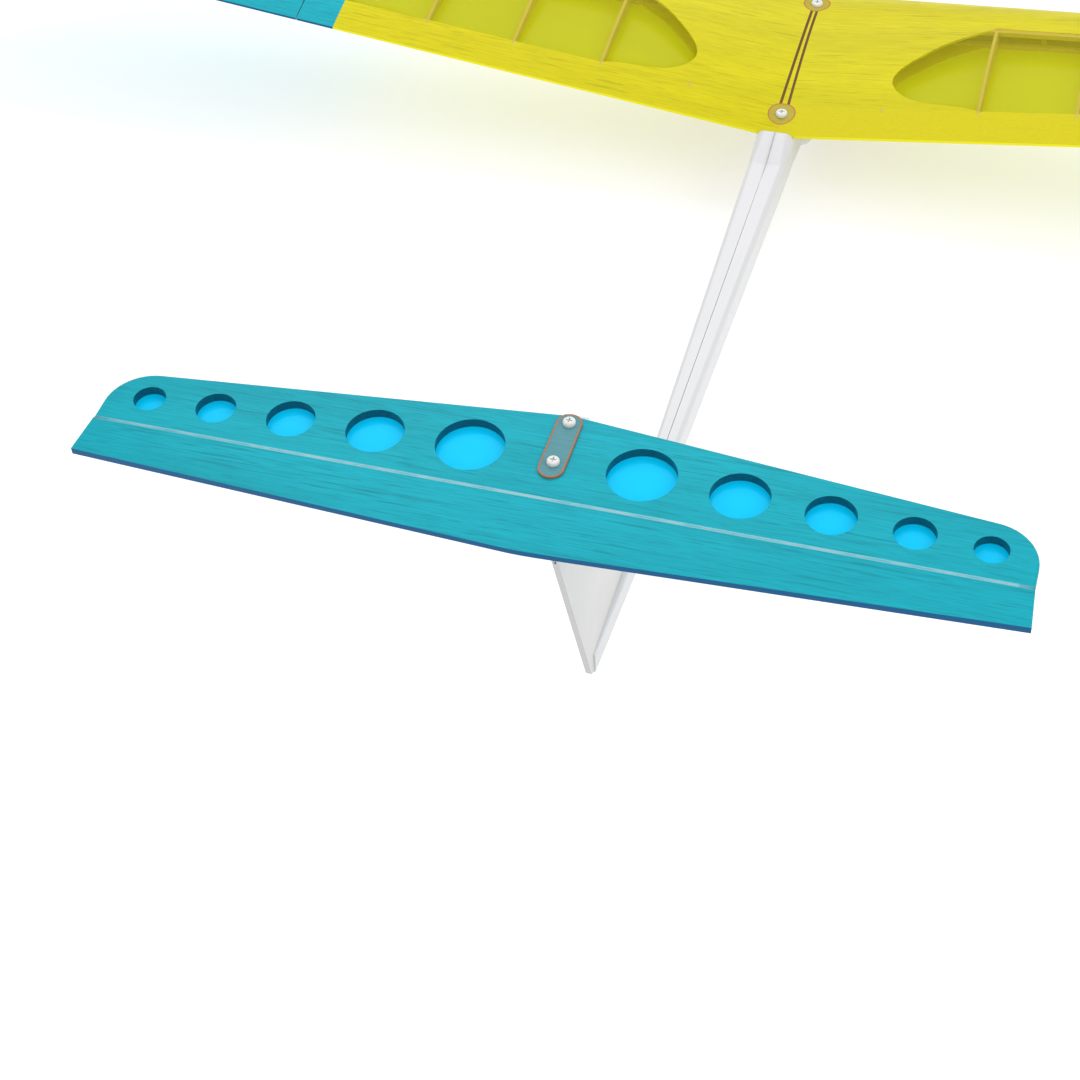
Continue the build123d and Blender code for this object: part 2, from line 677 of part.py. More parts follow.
def servo_case(x0, x1, y, z, ahead):
    """Micro servo lying on its side: case with mounting ears, bored for its shaft."""
    rear = SERVO_LENGTH - ahead
    case = slab(x0, x1, y - ahead, y + rear, z - SERVO_HEIGHT / 2, z + SERVO_HEIGHT / 2)
    ear = (x0 + x1) / 2
    case = case + slab(ear - 0.6, ear + 0.6, y - ahead - 3, y + rear + 3, z - SERVO_HEIGHT / 2,
                       z + SERVO_HEIGHT / 2)
    return case - across(SHAFT / 2 + SHAFT_GAP, x0 - 1, x1 + 1, y, z)


ARM_X = WIRE / 2 + PLATE_GAP        # from a wire's middle to the plate beside it
PIN_REACH = ARM_X + PLATE + 0.5
CASE_GAP = 0.6                      # from an arm's plate to its servo's case


# ---- elevator: servo in the pod, flexible snake in a guide tube, rod up to the horn ----
HORN_REACH = sqrt(ELEVATOR_HORN_AFT**2 + ELEVATOR_HORN_DROP**2)
ROD_Y = ELEVATOR_HORN_DROP / HORN_REACH
ROD_Z = ELEVATOR_HORN_AFT / HORN_REACH
ROD_END = (HINGE_Y + ELEVATOR_HORN_AFT, TAIL_TOP - ELEVATOR_HORN_DROP)
SERVO_Y = aft(NOSE_TO_WING + SERVO_TO_WING)
TUBE_Y = SERVO_Y + TUBE_FROM_SERVO
SERVO_Z = TUBE_HEIGHT - ELEVATOR_ARM
ELEVATOR_SWING = HORN_REACH / ELEVATOR_ARM * THROW


def rod_point(z):
    """The point of the rear rod's line at one height, as (y, z)."""
    return (ROD_END[0] - (ROD_END[1] - z) * ROD_Y / ROD_Z, z)


def tube_path(top):
    """Guide tube's centre line: level along the boom, one bend, then straight up the fin."""
    corner = rod_point(TUBE_HEIGHT)
    tangent = TUBE_BEND * tan(atan2(ROD_Z, ROD_Y) / 2)
    bend_in = (corner[0] - tangent, TUBE_HEIGHT)
    bend_out = (corner[0] + tangent * ROD_Y, TUBE_HEIGHT + tangent * ROD_Z)
    level = Line((0, TUBE_Y, TUBE_HEIGHT), (0, *bend_in))
    bend = TangentArc((0, *bend_in), (0, *bend_out), tangent=(0, 1, 0))
    rise = Line((0, *bend_out), (0, *rod_point(top)))
    return level, bend, rise


def along_tube(radius, top=TUBE_TOP):
    """A solid of one radius along the guide tube's centre line."""
    made = None
    for edge in tube_path(top):
        section = Plane(origin=edge @ 0, z_dir=edge % 0) * Circle(radius)
        run = sweep(section, path=edge)
        made = run if made is None else made + run
    return made


def guide_tube():
    return along_tube(TUBE / 2) - along_tube(TUBE_BORE / 2)


def elevator_horn():
    root = [(back, elevator_under(back) - TAIL_TOP) for back in (6, 20)]
    outline = root + [(19.5, -6.2), (16.2, -11.4), (12.6, -11.4), (9.2, -8.2)]
    direction = (ELEVATOR_HORN_AFT / HORN_REACH, -ELEVATOR_HORN_DROP / HORN_REACH)
    return Pos(0, HINGE_Y, TAIL_TOP) * slotted(outline, HORN_REACH, direction, ARM_X, THROW)


def elevator_rod():
    return wire(0, rod_point(TUBE_TOP - 32), ROD_END, [ROD_END], PIN_REACH)


def front_rod():
    start = (SERVO_Y, TUBE_HEIGHT)
    return wire(0, start, (TUBE_Y + 28, TUBE_HEIGHT), [start], PIN_REACH)


def elevator_arm():
    outline = [(-3, -3), (3, -3), (3, 1), (2.1, 15.4), (-2.1, 15.4), (-3, 1)]
    plate = slotted(outline, ELEVATOR_ARM, (0, 1), ARM_X, ELEVATOR_SWING)
    plate = plate + across(SHAFT / 2, ARM_X + PLATE, ARM_X + PLATE + 4, 0, 0)
    return Pos(0, SERVO_Y, SERVO_Z) * plate


def elevator_servo():
    x0 = ARM_X + PLATE + CASE_GAP
    return servo_case(x0, x0 + SERVO_DEPTH, SERVO_Y, SERVO_Z, 6.0)


# ---- ailerons: one servo in each tip panel, a short wire under the wing ----
AILERON_WIRE_X = AILERON_START + AILERON_WIRE_IN
AILERON_SHAFT_Y = HINGE_LINE - AILERON_WIRE_LENGTH
AILERON_SHAFT_Z = surface_height(AILERON_WIRE_X) - AILERON_HORN + AILERON_ARM


def aileron_linkage():
    """Horn, wire, arm and servo of one aileron, in the panel's own frame."""
    x = AILERON_WIRE_X
    hinge_z = surface_height(x)
    wire_z = hinge_z - AILERON_HORN
    plate_x = x - ARM_X - PLATE
    outline = [(5, -hinge_z), (14, -hinge_z), (14, -hinge_z - 1.5), (3.2, -15.6), (-2.6, -15.6),
               (-2.6, -10.6), (2.2, -8.6)]
    horn = Pos(0, HINGE_LINE, hinge_z) * slotted(outline, AILERON_HORN, (0, -1), plate_x, THROW)
    swing = THROW * AILERON_HORN / AILERON_ARM
    outline = [(-3, 2.5), (3, 2.5), (3, -2), (2.1, -12.6), (-2.1, -12.6), (-3, -2)]
    arm = slotted(outline, AILERON_ARM, (0, -1), plate_x, swing)
    arm = arm + across(SHAFT / 2, plate_x - 4, plate_x, 0, 0)
    arm = Pos(0, AILERON_SHAFT_Y, AILERON_SHAFT_Z) * arm
    ends = [(AILERON_SHAFT_Y, wire_z), (HINGE_LINE, wire_z)]
    rod = wire(x, ends[0], ends[1], ends, x - PIN_REACH)
    case = servo_case(plate_x - CASE_GAP - SERVO_DEPTH, plate_x - CASE_GAP, AILERON_SHAFT_Y,
                      AILERON_SHAFT_Z, AILERON_CASE_AHEAD)
    return {"aileron_horn": horn, "aileron_servo_arm": arm, "aileron_rod": rod, "aileron_servos": case}


def arm_slot():
    """Slot through the tip panel's under covering, where the servo arm comes out."""
    plate_x = AILERON_WIRE_X - ARM_X - PLATE
    return slab(plate_x - 0.5, plate_x + PLATE + 0.5, AILERON_SHAFT_Y - 8, AILERON_SHAFT_Y + 8, -2, 2)


def servo_tray():
    """Thin plate between two tip ribs, on which the aileron servo is stuck."""
    low = AILERON_SHAFT_Z + SERVO_HEIGHT / 2
    first = COLOUR_BREAK + 1 + RIB / 2
    front = spar_y(COLOUR_BREAK + RIB_PITCH) + SPAR_CAP + 0.5
    return slab(first, first + RIB_PITCH - RIB, front, AILERON_SHAFT_Y + 4, low, low + TRAY)


# ======================= bolts =======================
def pan_bolt(head, head_height, shank, length):
    """Nylon pan-head screw hanging down from its seat at z = 0, with a cross recess."""
    top = Pos(0, 0, head_height / 2) * Cylinder(head / 2, head_height)
    rim = [e for e in top.edges() if e.center().Z > head_height - 0.01]
    top = fillet(rim, head_height * 0.6)
    bolt = top + Pos(0, 0, -length / 2) * Cylinder(shank / 2, length)
    arm = head * 0.52
    wide = head * 0.12
    deep = head_height * 0.5
    recess = Pos(0, 0, head_height) * (Box(arm, wide, 2 * deep) + Box(wide, arm, 2 * deep))
    return bolt - recess


FRONT_BOLT_Y = aft(NOSE_TO_WING + FRONT_BOLT)
REAR_BOLT_Y = aft(WING_TE - REAR_BOLT)


def bolt_seat(y):
    """Height at which a wing bolt's head sits, a little below the upper face."""
    back = y - aft(NOSE_TO_WING)
    rise = upper(back / ROOT_CHORD) * ROOT_CHORD
    return WING_LE_HEIGHT - back * sin(radians(INCIDENCE)) + rise - 0.4


def build():
    """Make every sub-part and write its file."""
    os.makedirs("parts", exist_ok=True)

    # fuselage: two half shells, nose block, hatch, formers
    body = fuselage_outside()
    space = pod_space()
    boom = boom_space()
    seats = (FRONT_BOLT_Y, REAR_BOLT_Y)
    bolt_holes = []
    for y in seats:
        bolt_holes.append(upright(WING_BOLT / 2 + BOLT_CLEARANCE, 0, y, SADDLE_UNDER - 1, 80))
    hatch_zone = slab(-30, 30, aft(HATCH_START), aft(HATCH_END), HATCH_BOTTOM, 80)
    hatch_body = slab(-30, 30, aft(HATCH_START) + HATCH_GAP, aft(HATCH_END) - HATCH_GAP,
                      HATCH_BOTTOM + HATCH_GAP, 80)
    nose_zone = slab(-30, 30, -FAR, aft(NOSE_BLOCK), -10, 80)
    tube_bore = along_tube(TUBE / 2 + TUBE_FIT)
    shell = body - space - boom - saddle_cutter() - hatch_zone - nose_zone - tube_bore
    fin_sheet = fin() - tube_bore
    channel = Edge.make_line((0, *rod_point(TUBE_TOP - 1)), (0, *ROD_END))
    fin_sheet = fin_sheet - sweep(Plane(origin=channel @ 0, z_dir=channel % 0) * Circle(WIRE / 2 + CHANNEL_CLEARANCE),
                                  path=channel)
    shell = shell - fin()
    for hole in bolt_holes:
        shell = shell - hole
    save("fuselage_port", shell & slab(SEAM / 2, 40, -FAR, FAR, -10, 90))
    save("fuselage_starboard", shell & slab(-40, -SEAM / 2, -FAR, FAR, -10, 90))

    weight = lengthwise(WEIGHT / 2, 0, aft(WEIGHT_START), aft(WEIGHT_START) + WEIGHT_LENGTH, WEIGHT_HEIGHT)
    save("nose_block", (body & nose_zone) - weight)
    save("nose_weight", weight)
    save("hatch", (body & hatch_body) - space)

    formers = []
    for station in (FIRST_FORMER, BAY_END - FORMER, FORMER_TO_WING + NOSE_TO_WING, WING_TE - REAR_FORMER_AHEAD):
        former = (space & slab(-30, 30, aft(station), aft(station + FORMER), -10, 80)) - hatch_zone
        former = former - lengthwise(FORMER_PORT / 2, 0, aft(station - FORMER), aft(station + 2 * FORMER),
                                     FORMER_PORT_HEIGHT)
        formers.append(former - tube_bore)
    save("formers", *formers)
    plates = []
    for y in seats:
        plate = space & slab(-30, 30, y - BOLT_PLATE_LENGTH / 2, y + BOLT_PLATE_LENGTH / 2,
                             SADDLE_UNDER - BOLT_PLATE, SADDLE_UNDER)
        plates.append(plate - upright(WING_BOLT / 2 + BOLT_FIT, 0, y, 0, 60))
    save("wing_bolt_plates", *plates)

    battery_start = aft(FIRST_FORMER + FORMER + BATTERY_GAP)
    battery_top = WALL + BATTERY_HEIGHT
    receiver_start = battery_start + RECEIVER_SETBACK
    save("battery", slab(-BATTERY_WIDTH / 2, BATTERY_WIDTH / 2, battery_start,
                         battery_start + BATTERY_LENGTH, WALL, battery_top))
    save("receiver", slab(-RECEIVER_WIDTH / 2, RECEIVER_WIDTH / 2, receiver_start,
                          receiver_start + RECEIVER_LENGTH, battery_top, battery_top + RECEIVER_HEIGHT))
    half = POD_HALF_WIDTH - WALL
    top = SERVO_Z - SERVO_HEIGHT / 2
    tray_start = aft(NOSE_TO_WING + FORMER_TO_WING + FORMER)
    save("servo_tray", slab(-half, half, tray_start, tray_start + SERVO_LENGTH + SERVO_TRAY_MARGIN,
                            top - SERVO_TRAY, top))
    save("elevator_servo", elevator_servo())
    save("elevator_servo_arm", elevator_arm())
    save("elevator_front_rod", front_rod())
    save("elevator_guide_tube", guide_tube())
    save("elevator_rear_rod", elevator_rod())
    save("elevator_horn", elevator_horn())

    # wing bolts and the ply washers let into the wing's upper face
    seat_cuts = list(bolt_holes)
    upper_zones = (place(OUTSIDE - ROOT_CUT, 1), place(OUTSIDE - ROOT_CUT, -1))
    washers = []
    bolts = []
    for y in seats:
        seat = bolt_seat(y)
        disc = upright(WASHER_DIAMETER / 2, 0, y, seat - WASHER, seat + 6)
        washer = (upper_zones[0] & disc) + (upper_zones[1] & disc)
        washer = washer - upright(WING_HEAD / 2 + HEAD_GAP, 0, y, seat, seat + 6)
        washers.append(washer - upright(WING_BOLT / 2 + BOLT_CLEARANCE, 0, y, seat - 9, seat + 9))
        seat_cuts.append(disc)
        length = seat - (SADDLE_UNDER - BOLT_PLATE - WING_BOLT_END)
        bolts.append(Pos(0, y, seat) * pan_bolt(WING_HEAD, WING_HEAD_HEIGHT, WING_BOLT, length))
    save("wing_washers", *washers)
    save("wing_bolts", *bolts)

    # wing halves: what shows is one node a side, what is hidden is one node for both sides
    inner = inner_panel()
    tip = tip_panel()
    links = aileron_linkage()
    tip["tip_covering"] = [tip["tip_covering"][0] - arm_slot()]
    hidden = {"root_ribs": [], "wing_ribs": [], "spar_caps": [], "spar_webs": [], "aileron_servos": [],
              "aileron_servo_trays": []}
    for side, word in ((1, "port"), (-1, "starboard")):
        for name, solids in inner.items():
            placed = [place(piece, side) for solid in solids for piece in solid.solids()]
            if name in ("upper_sheeting", "under_sheeting", "root_ribs", "trailing_edge"):
                for cut in seat_cuts:
                    placed = [piece - cut for piece in placed]
            if name in hidden:
                hidden[name] += placed
            else:
                save(f"{name}_{word}", *placed)
        for name, solids in tip.items():
            placed = [place(piece, side) for solid in solids for piece in solid.solids()]
            if name in hidden:
                hidden[name] += placed
            else:
                save(f"{name}_{word}", *placed)
        for name, solid in links.items():
            if name == "aileron_servos":
                hidden[name].append(place(solid, side))
            else:
                save(f"{name}_{word}", place(solid, side))
        hidden["aileron_servo_trays"].append(place(servo_tray(), side))
    for name, solids in hidden.items():
        save(name, *solids)

    # tail
    tail_holes = []
    for ahead in TAIL_BOLTS:
        tail_holes.append(upright(TAIL_BOLT / 2 + BOLT_FIT, 0, HINGE_Y - ahead, FIN_TOP, TAIL_TOP + 5))
    stab = tailplane()
    block = slab(-MOUNT_WIDTH / 2, MOUNT_WIDTH / 2, aft(MOUNT_FRONT), aft(MOUNT_REAR), MOUNT_LOW, TAIL_UNDER)
    block = block - fin()
    rear = HINGE_Y - TAIL_PLATE_REAR
    plate = Pos(0, rear - TAIL_PLATE_LENGTH / 2, TAIL_TOP) * extrude(
        Rot(0, 0, 90) * SlotOverall(TAIL_PLATE_LENGTH, TAIL_PLATE_WIDTH), TAIL_PLATE)
    for hole in tail_holes:
        stab = stab - hole
        block = block - hole
        plate = plate - hole
    save("fin", fin_sheet)
    save("tail_mount_block", block)
    save("tailplane", stab)
    save("tail_clamp_plate", plate)
    tail_screws = []
    for ahead in TAIL_BOLTS:
        bolt = pan_bolt(TAIL_HEAD, TAIL_HEAD_HEIGHT, TAIL_BOLT, TAIL_PLATE + TAIL_THICKNESS + TAIL_BOLT_REACH)
        tail_screws.append(Pos(0, HINGE_Y - ahead, TAIL_TOP + TAIL_PLATE) * bolt)
    save("tail_bolts", *tail_screws)
    save("tailplane_covering", *tail_discs(TAIL_UNDER), *tail_discs(TAIL_TOP - TAIL_FILM))
    save("elevator", elevator())


if __name__ == "__main__":
    build()
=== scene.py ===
import json
import math

import bmesh
import bpy
from bpy.props import FloatProperty, FloatVectorProperty, PointerProperty
from mathutils import Euler, Matrix, Vector


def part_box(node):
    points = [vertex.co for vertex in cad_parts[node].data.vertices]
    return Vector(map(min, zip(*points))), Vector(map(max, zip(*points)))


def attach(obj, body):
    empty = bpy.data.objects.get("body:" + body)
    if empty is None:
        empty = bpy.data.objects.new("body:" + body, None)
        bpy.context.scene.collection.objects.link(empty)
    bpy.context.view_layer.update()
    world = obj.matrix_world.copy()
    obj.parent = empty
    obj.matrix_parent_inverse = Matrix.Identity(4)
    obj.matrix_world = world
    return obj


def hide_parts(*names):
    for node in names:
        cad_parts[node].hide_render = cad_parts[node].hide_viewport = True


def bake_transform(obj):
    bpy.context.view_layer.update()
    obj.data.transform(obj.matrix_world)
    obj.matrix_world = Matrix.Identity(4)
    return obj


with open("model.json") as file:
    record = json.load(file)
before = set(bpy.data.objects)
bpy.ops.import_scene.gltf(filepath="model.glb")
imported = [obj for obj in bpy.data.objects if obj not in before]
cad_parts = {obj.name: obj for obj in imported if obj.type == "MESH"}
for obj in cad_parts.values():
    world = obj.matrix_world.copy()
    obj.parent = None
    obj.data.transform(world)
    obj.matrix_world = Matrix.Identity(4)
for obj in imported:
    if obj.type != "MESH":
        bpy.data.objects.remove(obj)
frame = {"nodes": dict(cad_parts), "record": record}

bl_info = {
    "name": "Balsa Glider Finish",
    "version": (1, 0, 0),
    "blender": (4, 5, 0),
    "location": "View3D > Sidebar > Glider",
    "description": "Film, wood, hinge and stage finish for a built-up balsa hand glider",
    "category": "Object",
}

MM = 0.001
NODES = frame["nodes"]
JOINTS = {joint["name"]: joint for joint in frame["record"]["behaviour"]["joints"]}
TAIL_HINGE = Vector(JOINTS["elevator_hinge"]["pos_m"])
SIDES = (("port", 1), ("starboard", -1))
TAIL_SWEEP = 0.101              # the tailplane's leading edge moves aft by this much per unit of span
YELLOW_SHEEN = (0.70, 0.64, 0.01)
CYAN_SHEEN = (0.02, 0.60, 0.85)
SEAM_HALF_WIDTH = 0.14 * MM
SEAM_FILLER = 0.8 * MM          # how deep the filler goes
HINGE_SKIN = 0.04 * MM          # thickness of a film hinge's mesh
HINGE_ROWS = 60                 # steps along a film hinge
HINGE_COLUMNS = 9               # steps across it
RIB_LENGTH = 20 * MM            # a solid of the ribs' node longer than this is a whole rib
WELD = 0.002 * MM               # vertices closer than this are one
FLOOR_REACH = 9.0
FLOOR_CELLS = 12


# ======================= sizes and colours =======================
def size(name, words, default, unit="LENGTH"):
    """A length or an angle that the user may change."""
    subtype = "DISTANCE" if unit == "LENGTH" else "ANGLE"
    return FloatProperty(name=name, description=words, default=default, subtype=subtype, precision=5)


def colour(name, words, default):
    """A colour given as linear red, green and blue."""
    return FloatVectorProperty(name=name, description=words, default=default, subtype="COLOR",
                               size=3, min=0.0, max=1.0)


class GliderSizes(bpy.types.PropertyGroup):
    """Sizes of what the finish adds."""
    bay_sag: size("Bay sag", "How far the film sinks between two ribs", 0.7 * MM)
    sag_edge: size("Sag edge", "Width over which the sag starts from an edge", 14 * MM)
    film_cell: size("Film cell", "Spacing of the film's mesh along the span", 5 * MM)
    hinge_width: size("Hinge width", "Width of a film hinge", 2.4 * MM)
    hinge_film: size("Hinge film", "Thickness of a film hinge", 0.10 * MM)
    seam_depth: size("Seam depth", "How far the fuselage seam's filler lies under the skin", 0.12 * MM)
    plate_ring: size("Plate ring", "Width of the scorched rim of the clamp plate and the washers", 0.65 * MM)


class GliderColours(bpy.types.PropertyGroup):
    """Colours of the finishes."""
    yellow: colour("Yellow film", "Yellow film over balsa sheet", (0.660, 0.590, 0.0))
    bay_yellow: colour("Bay yellow", "Yellow film over an open bay", (0.430, 0.480, 0.0))
    cyan: colour("Cyan film", "Cyan film over balsa sheet", (0.000, 0.395, 0.485))
    hole_cyan: colour("Hole cyan", "Cyan film over a tail hole", (0.000, 0.500, 0.820))
    # painted shade: near-black for the walls of the tail holes, which lie in shade under the film
    hole_wall_shade: colour("Hole wall", "Wall of a tail hole under film", (0.002, 0.030, 0.052))
    white: colour("White", "Painted fuselage and fin", (0.640, 0.640, 0.655))
    balsa: colour("Balsa", "Bare balsa", (0.700, 0.540, 0.310))
    spruce: colour("Spruce", "Bare spruce", (0.580, 0.390, 0.170))
    ply: colour("Plywood", "Bare plywood", (0.400, 0.160, 0.060))
    scorch: colour("Scorch", "Edge browned by the cutter", (0.330, 0.130, 0.050))
    nylon: colour("Nylon", "White nylon", (0.780, 0.780, 0.760))
    floor: colour("Floor", "Pale floor", (0.600, 0.600, 0.600))


class GliderCamera(bpy.types.PropertyGroup):
    """Where the camera stands, and its lens."""
    place: FloatVectorProperty(name="Place", description="Camera position", subtype="TRANSLATION", size=3,
                               default=(-0.22343, 1.02509, 0.89341), precision=5)
    turn: FloatVectorProperty(name="Turn", description="Camera rotation", subtype="EULER", size=3,
                              default=(0.736770, 0.055499, -2.847104), precision=6)
    lens: FloatProperty(name="Lens", description="Focal length on a 36 mm sensor", default=71.33,
                        subtype="DISTANCE_CAMERA")


def sizes():
    return bpy.context.scene.glider_sizes


def colours():
    return bpy.context.scene.glider_colours


# ======================= shader building =======================
class Finish:
    """One material, with short calls for the nodes that it is built from."""

    def __init__(self, name, roughness=0.5, **constants):
        self.material = bpy.data.materials.new(name)
        self.material.use_nodes = True
        self.tree = self.material.node_tree
        self.shader = self.tree.nodes["Principled BSDF"]
        self.shader.inputs["Roughness"].default_value = roughness
        for socket, value in constants.items():
            self.shader.inputs[socket.replace("_", " ")].default_value = value
        self.place = self.tree.nodes.new("ShaderNodeTexCoord")

    def join(self, value, socket):
        """Link an output to a socket, or set the socket to a plain value."""
        if isinstance(value, bpy.types.NodeSocket):
            self.tree.links.new(value, socket)
        elif isinstance(value, (tuple, list)) or hasattr(value, "r"):
            socket.default_value = (*value[:3], 1.0)
        else:
            socket.default_value = value

    def math(self, operation, first, second=0.0, third=0.0):
        node = self.tree.nodes.new("ShaderNodeMath")
        node.operation = operation
        for socket, value in zip(node.inputs, (first, second, third)):
            self.join(value, socket)
        return node.outputs[0]

    def ramp(self, value, low, high):
        """0 below low, 1 above high, smooth in between."""
        node = self.tree.nodes.new("ShaderNodeMapRange")
        node.interpolation_type = "SMOOTHSTEP"
        self.join(value, node.inputs["Value"])
        node.inputs["From Min"].default_value = low
        node.inputs["From Max"].default_value = high
        return node.outputs["Result"]

    def mix(self, factor, first, second):
        node = self.tree.nodes.new("ShaderNodeMix")
        node.data_type = "RGBA"
        self.join(factor, node.inputs[0])
        self.join(first, node.inputs[6])
        self.join(second, node.inputs[7])
        return node.outputs[2]

    def noise(self, stretch, detail=3.0, roughness=0.55, distortion=0.0):
        """Noise in the part's own space, with its own frequency along each axis, per metre."""
        mapping = self.tree.nodes.new("ShaderNodeMapping")
        mapping.inputs["Scale"].default_value = stretch
        self.tree.links.new(self.place.outputs["Object"], mapping.inputs["Vector"])
        node = self.tree.nodes.new("ShaderNodeTexNoise")
        node.inputs["Scale"].default_value = 1.0
        node.inputs["Detail"].default_value = detail
        node.inputs["Roughness"].default_value = roughness
        node.inputs["Distortion"].default_value = distortion
        self.tree.links.new(mapping.outputs["Vector"], node.inputs["Vector"])
        return node.outputs["Fac"]

    def axes(self):
        """The point's X, Y and Z in the part's own space."""
        node = self.tree.nodes.new("ShaderNodeSeparateXYZ")
        self.tree.links.new(self.place.outputs["Object"], node.inputs[0])
        return node.outputs

    def facing(self):
        """The surface normal's X, Y and Z in the part's own space."""
        node = self.tree.nodes.new("ShaderNodeSeparateXYZ")
        self.tree.links.new(self.place.outputs["Normal"], node.inputs[0])
        return node.outputs

    def base(self, value):
        self.join(value, self.shader.inputs["Base Color"])

    def bump(self, height, depth, strength=1.0):
        node = self.tree.nodes.new("ShaderNodeBump")
        node.inputs["Strength"].default_value = strength
        node.inputs["Distance"].default_value = depth
        self.tree.links.new(height, node.inputs["Height"])
        self.tree.links.new(node.outputs["Normal"], self.shader.inputs["Normal"])

    def worn(self, middle, spread, stretch=(90, 90, 90)):
        """Roughness that wanders a little over the surface."""
        wander = self.noise(stretch, detail=2.0)
        value = self.math("MULTIPLY_ADD", wander, 2 * spread, middle - spread)
        self.join(value, self.shader.inputs["Roughness"])


def darker(value, share):
    return tuple(channel * share for channel in value[:3])


def wood_grain(finish, base, strength=1.0):
    """Colour of sheet wood with its grain along the span: soft bands, fine streaks and open pores."""
    bands = finish.noise((5, 55, 25), detail=2.0)
    streaks = finish.noise((45, 1500, 240), detail=3.0, roughness=0.6)
    pores = finish.noise((70, 2300, 300), detail=2.0, roughness=0.5)
    long_pores = finish.noise((22, 700, 120), detail=3.0, roughness=0.65, distortion=0.4)
    tone = finish.mix(finish.ramp(bands, 0.30, 0.70), darker(base, 1 - 0.11 * strength), base)
    layers = ((streaks, 0.38, 0.66, 0.42, 0.62), (pores, 0.58, 0.72, 0.55, 0.45),
              (long_pores, 0.56, 0.68, 0.50, 0.45))
    for noise, low, high, share, shade in layers:
        amount = finish.math("MULTIPLY", finish.ramp(noise, low, high), share * strength)
        tone = finish.mix(amount, tone, darker(base, shade))
    return tone, streaks


def filmed_wood(name, base, sheen, strength=1.0):
    """Glossy film ironed over sheet wood, with the grain showing through."""
    finish = Finish(name, Specular_IOR_Level=0.35, Specular_Tint=(*sheen, 1.0), Coat_Weight=0.04,
                    Coat_Roughness=0.12)
    tone, streaks = wood_grain(finish, base, strength)
    finish.bump(streaks, 0.00006, 0.45)
    finish.worn(0.36, 0.05)
    return finish, tone


def yellow_film():
    """Yellow film over sheet wood, with a painted highlight on the faces that look rearward."""
    base = tuple(colours().yellow)
    finish, tone = filmed_wood("yellow_film_over_balsa", base, YELLOW_SHEEN, 0.85)
    facing = finish.facing()
    # painted highlight: faces that look rearward are painted a brighter yellow
    edge = finish.ramp(facing[1], 0.75, 0.95)
    finish.base(finish.mix(edge, tone, (0.86, 0.80, 0.02)))
    return finish.material


def yellow_strip_film():
    """Yellow film over the trailing-edge strip, whose wood is coarser, with a painted highlight on the faces
    that look rearward.
    """
    base = tuple(colours().yellow)
    finish, tone = filmed_wood("yellow_film_over_strip", base, YELLOW_SHEEN, 0.85)
    coarse = finish.noise((320, 1900, 400), detail=4.0, roughness=0.7)
    x = finish.axes()[0]
    starboard = finish.ramp(x, 0.0, -0.002)
    flecks = finish.math("MULTIPLY", finish.ramp(coarse, 0.42, 0.68), 0.42)
    brown = finish.mix(flecks, darker(base, 0.93), (0.50, 0.36, 0.012))
    tone = finish.mix(finish.math("MULTIPLY", starboard, 0.85), tone, brown)
    # painted highlight: faces that look rearward are painted a brighter yellow
    edge = finish.ramp(finish.facing()[1], 0.75, 0.95)
    finish.base(finish.mix(edge, tone, (0.86, 0.80, 0.02)))
    return finish.material


def cyan_film(name="cyan_film_over_balsa"):
    """Cyan film over sheet wood, with painted shade in deeper blue on the faces that look rearward, where the
    film is lapped round the rear edge.
    """
    base = tuple(colours().cyan)
    finish, tone = filmed_wood(name, base, CYAN_SHEEN, 1.2)
    # painted shade: faces that look rearward are painted a much deeper blue
    edge = finish.ramp(finish.facing()[1], 0.55, 0.85)
    finish.base(finish.mix(edge, tone, (0.006, 0.085, 0.230)))
    return finish.material


def tailplane_film():
    """Cyan film on the tailplane, with painted shade on the walls of the round holes."""
    base = tuple(colours().cyan)
    finish, tone = filmed_wood("cyan_film_on_tailplane", base, CYAN_SHEEN, 1.2)
    x, y, _ = finish.axes()
    upright = finish.ramp(finish.math("ABSOLUTE", finish.facing()[2]), 0.5, 0.3)
    sweep = finish.math("MULTIPLY", finish.math("ABSOLUTE", x), TAIL_SWEEP)
    behind_edge = finish.math("SUBTRACT", y, sweep)
    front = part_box("tailplane")[0].y
    inside = finish.math("GREATER_THAN", behind_edge, front + 3 * MM)
    # painted shade: the upright walls of the holes are painted near-black, standing for the shade under the
    # film
    wall = finish.math("MULTIPLY", upright, inside)
    wood = finish.noise((300, 300, 1800), detail=3.0)
    wall_shade_tone = finish.mix(finish.ramp(wood, 0.35, 0.65), colours().hole_wall_shade,
                           darker(tuple(colours().hole_wall_shade), 1.8))
    finish.base(finish.mix(wall, tone, wall_shade_tone))
    return finish.material


def clear_film(name, base, alpha, sheen, painted_glow=0.0):
    """Stretched film with nothing behind it: see-through, with a painted glow that stands for the light from
    the floor below.
    """
    finish = Finish(name, roughness=0.22, Specular_IOR_Level=0.3, Specular_Tint=(*sheen, 1.0), Alpha=alpha)
    mottle = finish.noise((18, 26, 18), detail=2.0)
    tone = finish.mix(finish.ramp(mottle, 0.3, 0.7), darker(base, 0.95), base)
    finish.base(tone)
    # painted light: the film glows by emission, standing for the floor's light coming through it
    if painted_glow:
        finish.join(tone, finish.shader.inputs["Emission Color"])
        finish.shader.inputs["Emission Strength"].default_value = painted_glow
    wrinkle = finish.noise((60, 14, 60), detail=1.0)
    finish.bump(wrinkle, 0.0002, 0.2)
    finish.material.surface_render_method = "BLENDED"
    return finish.material


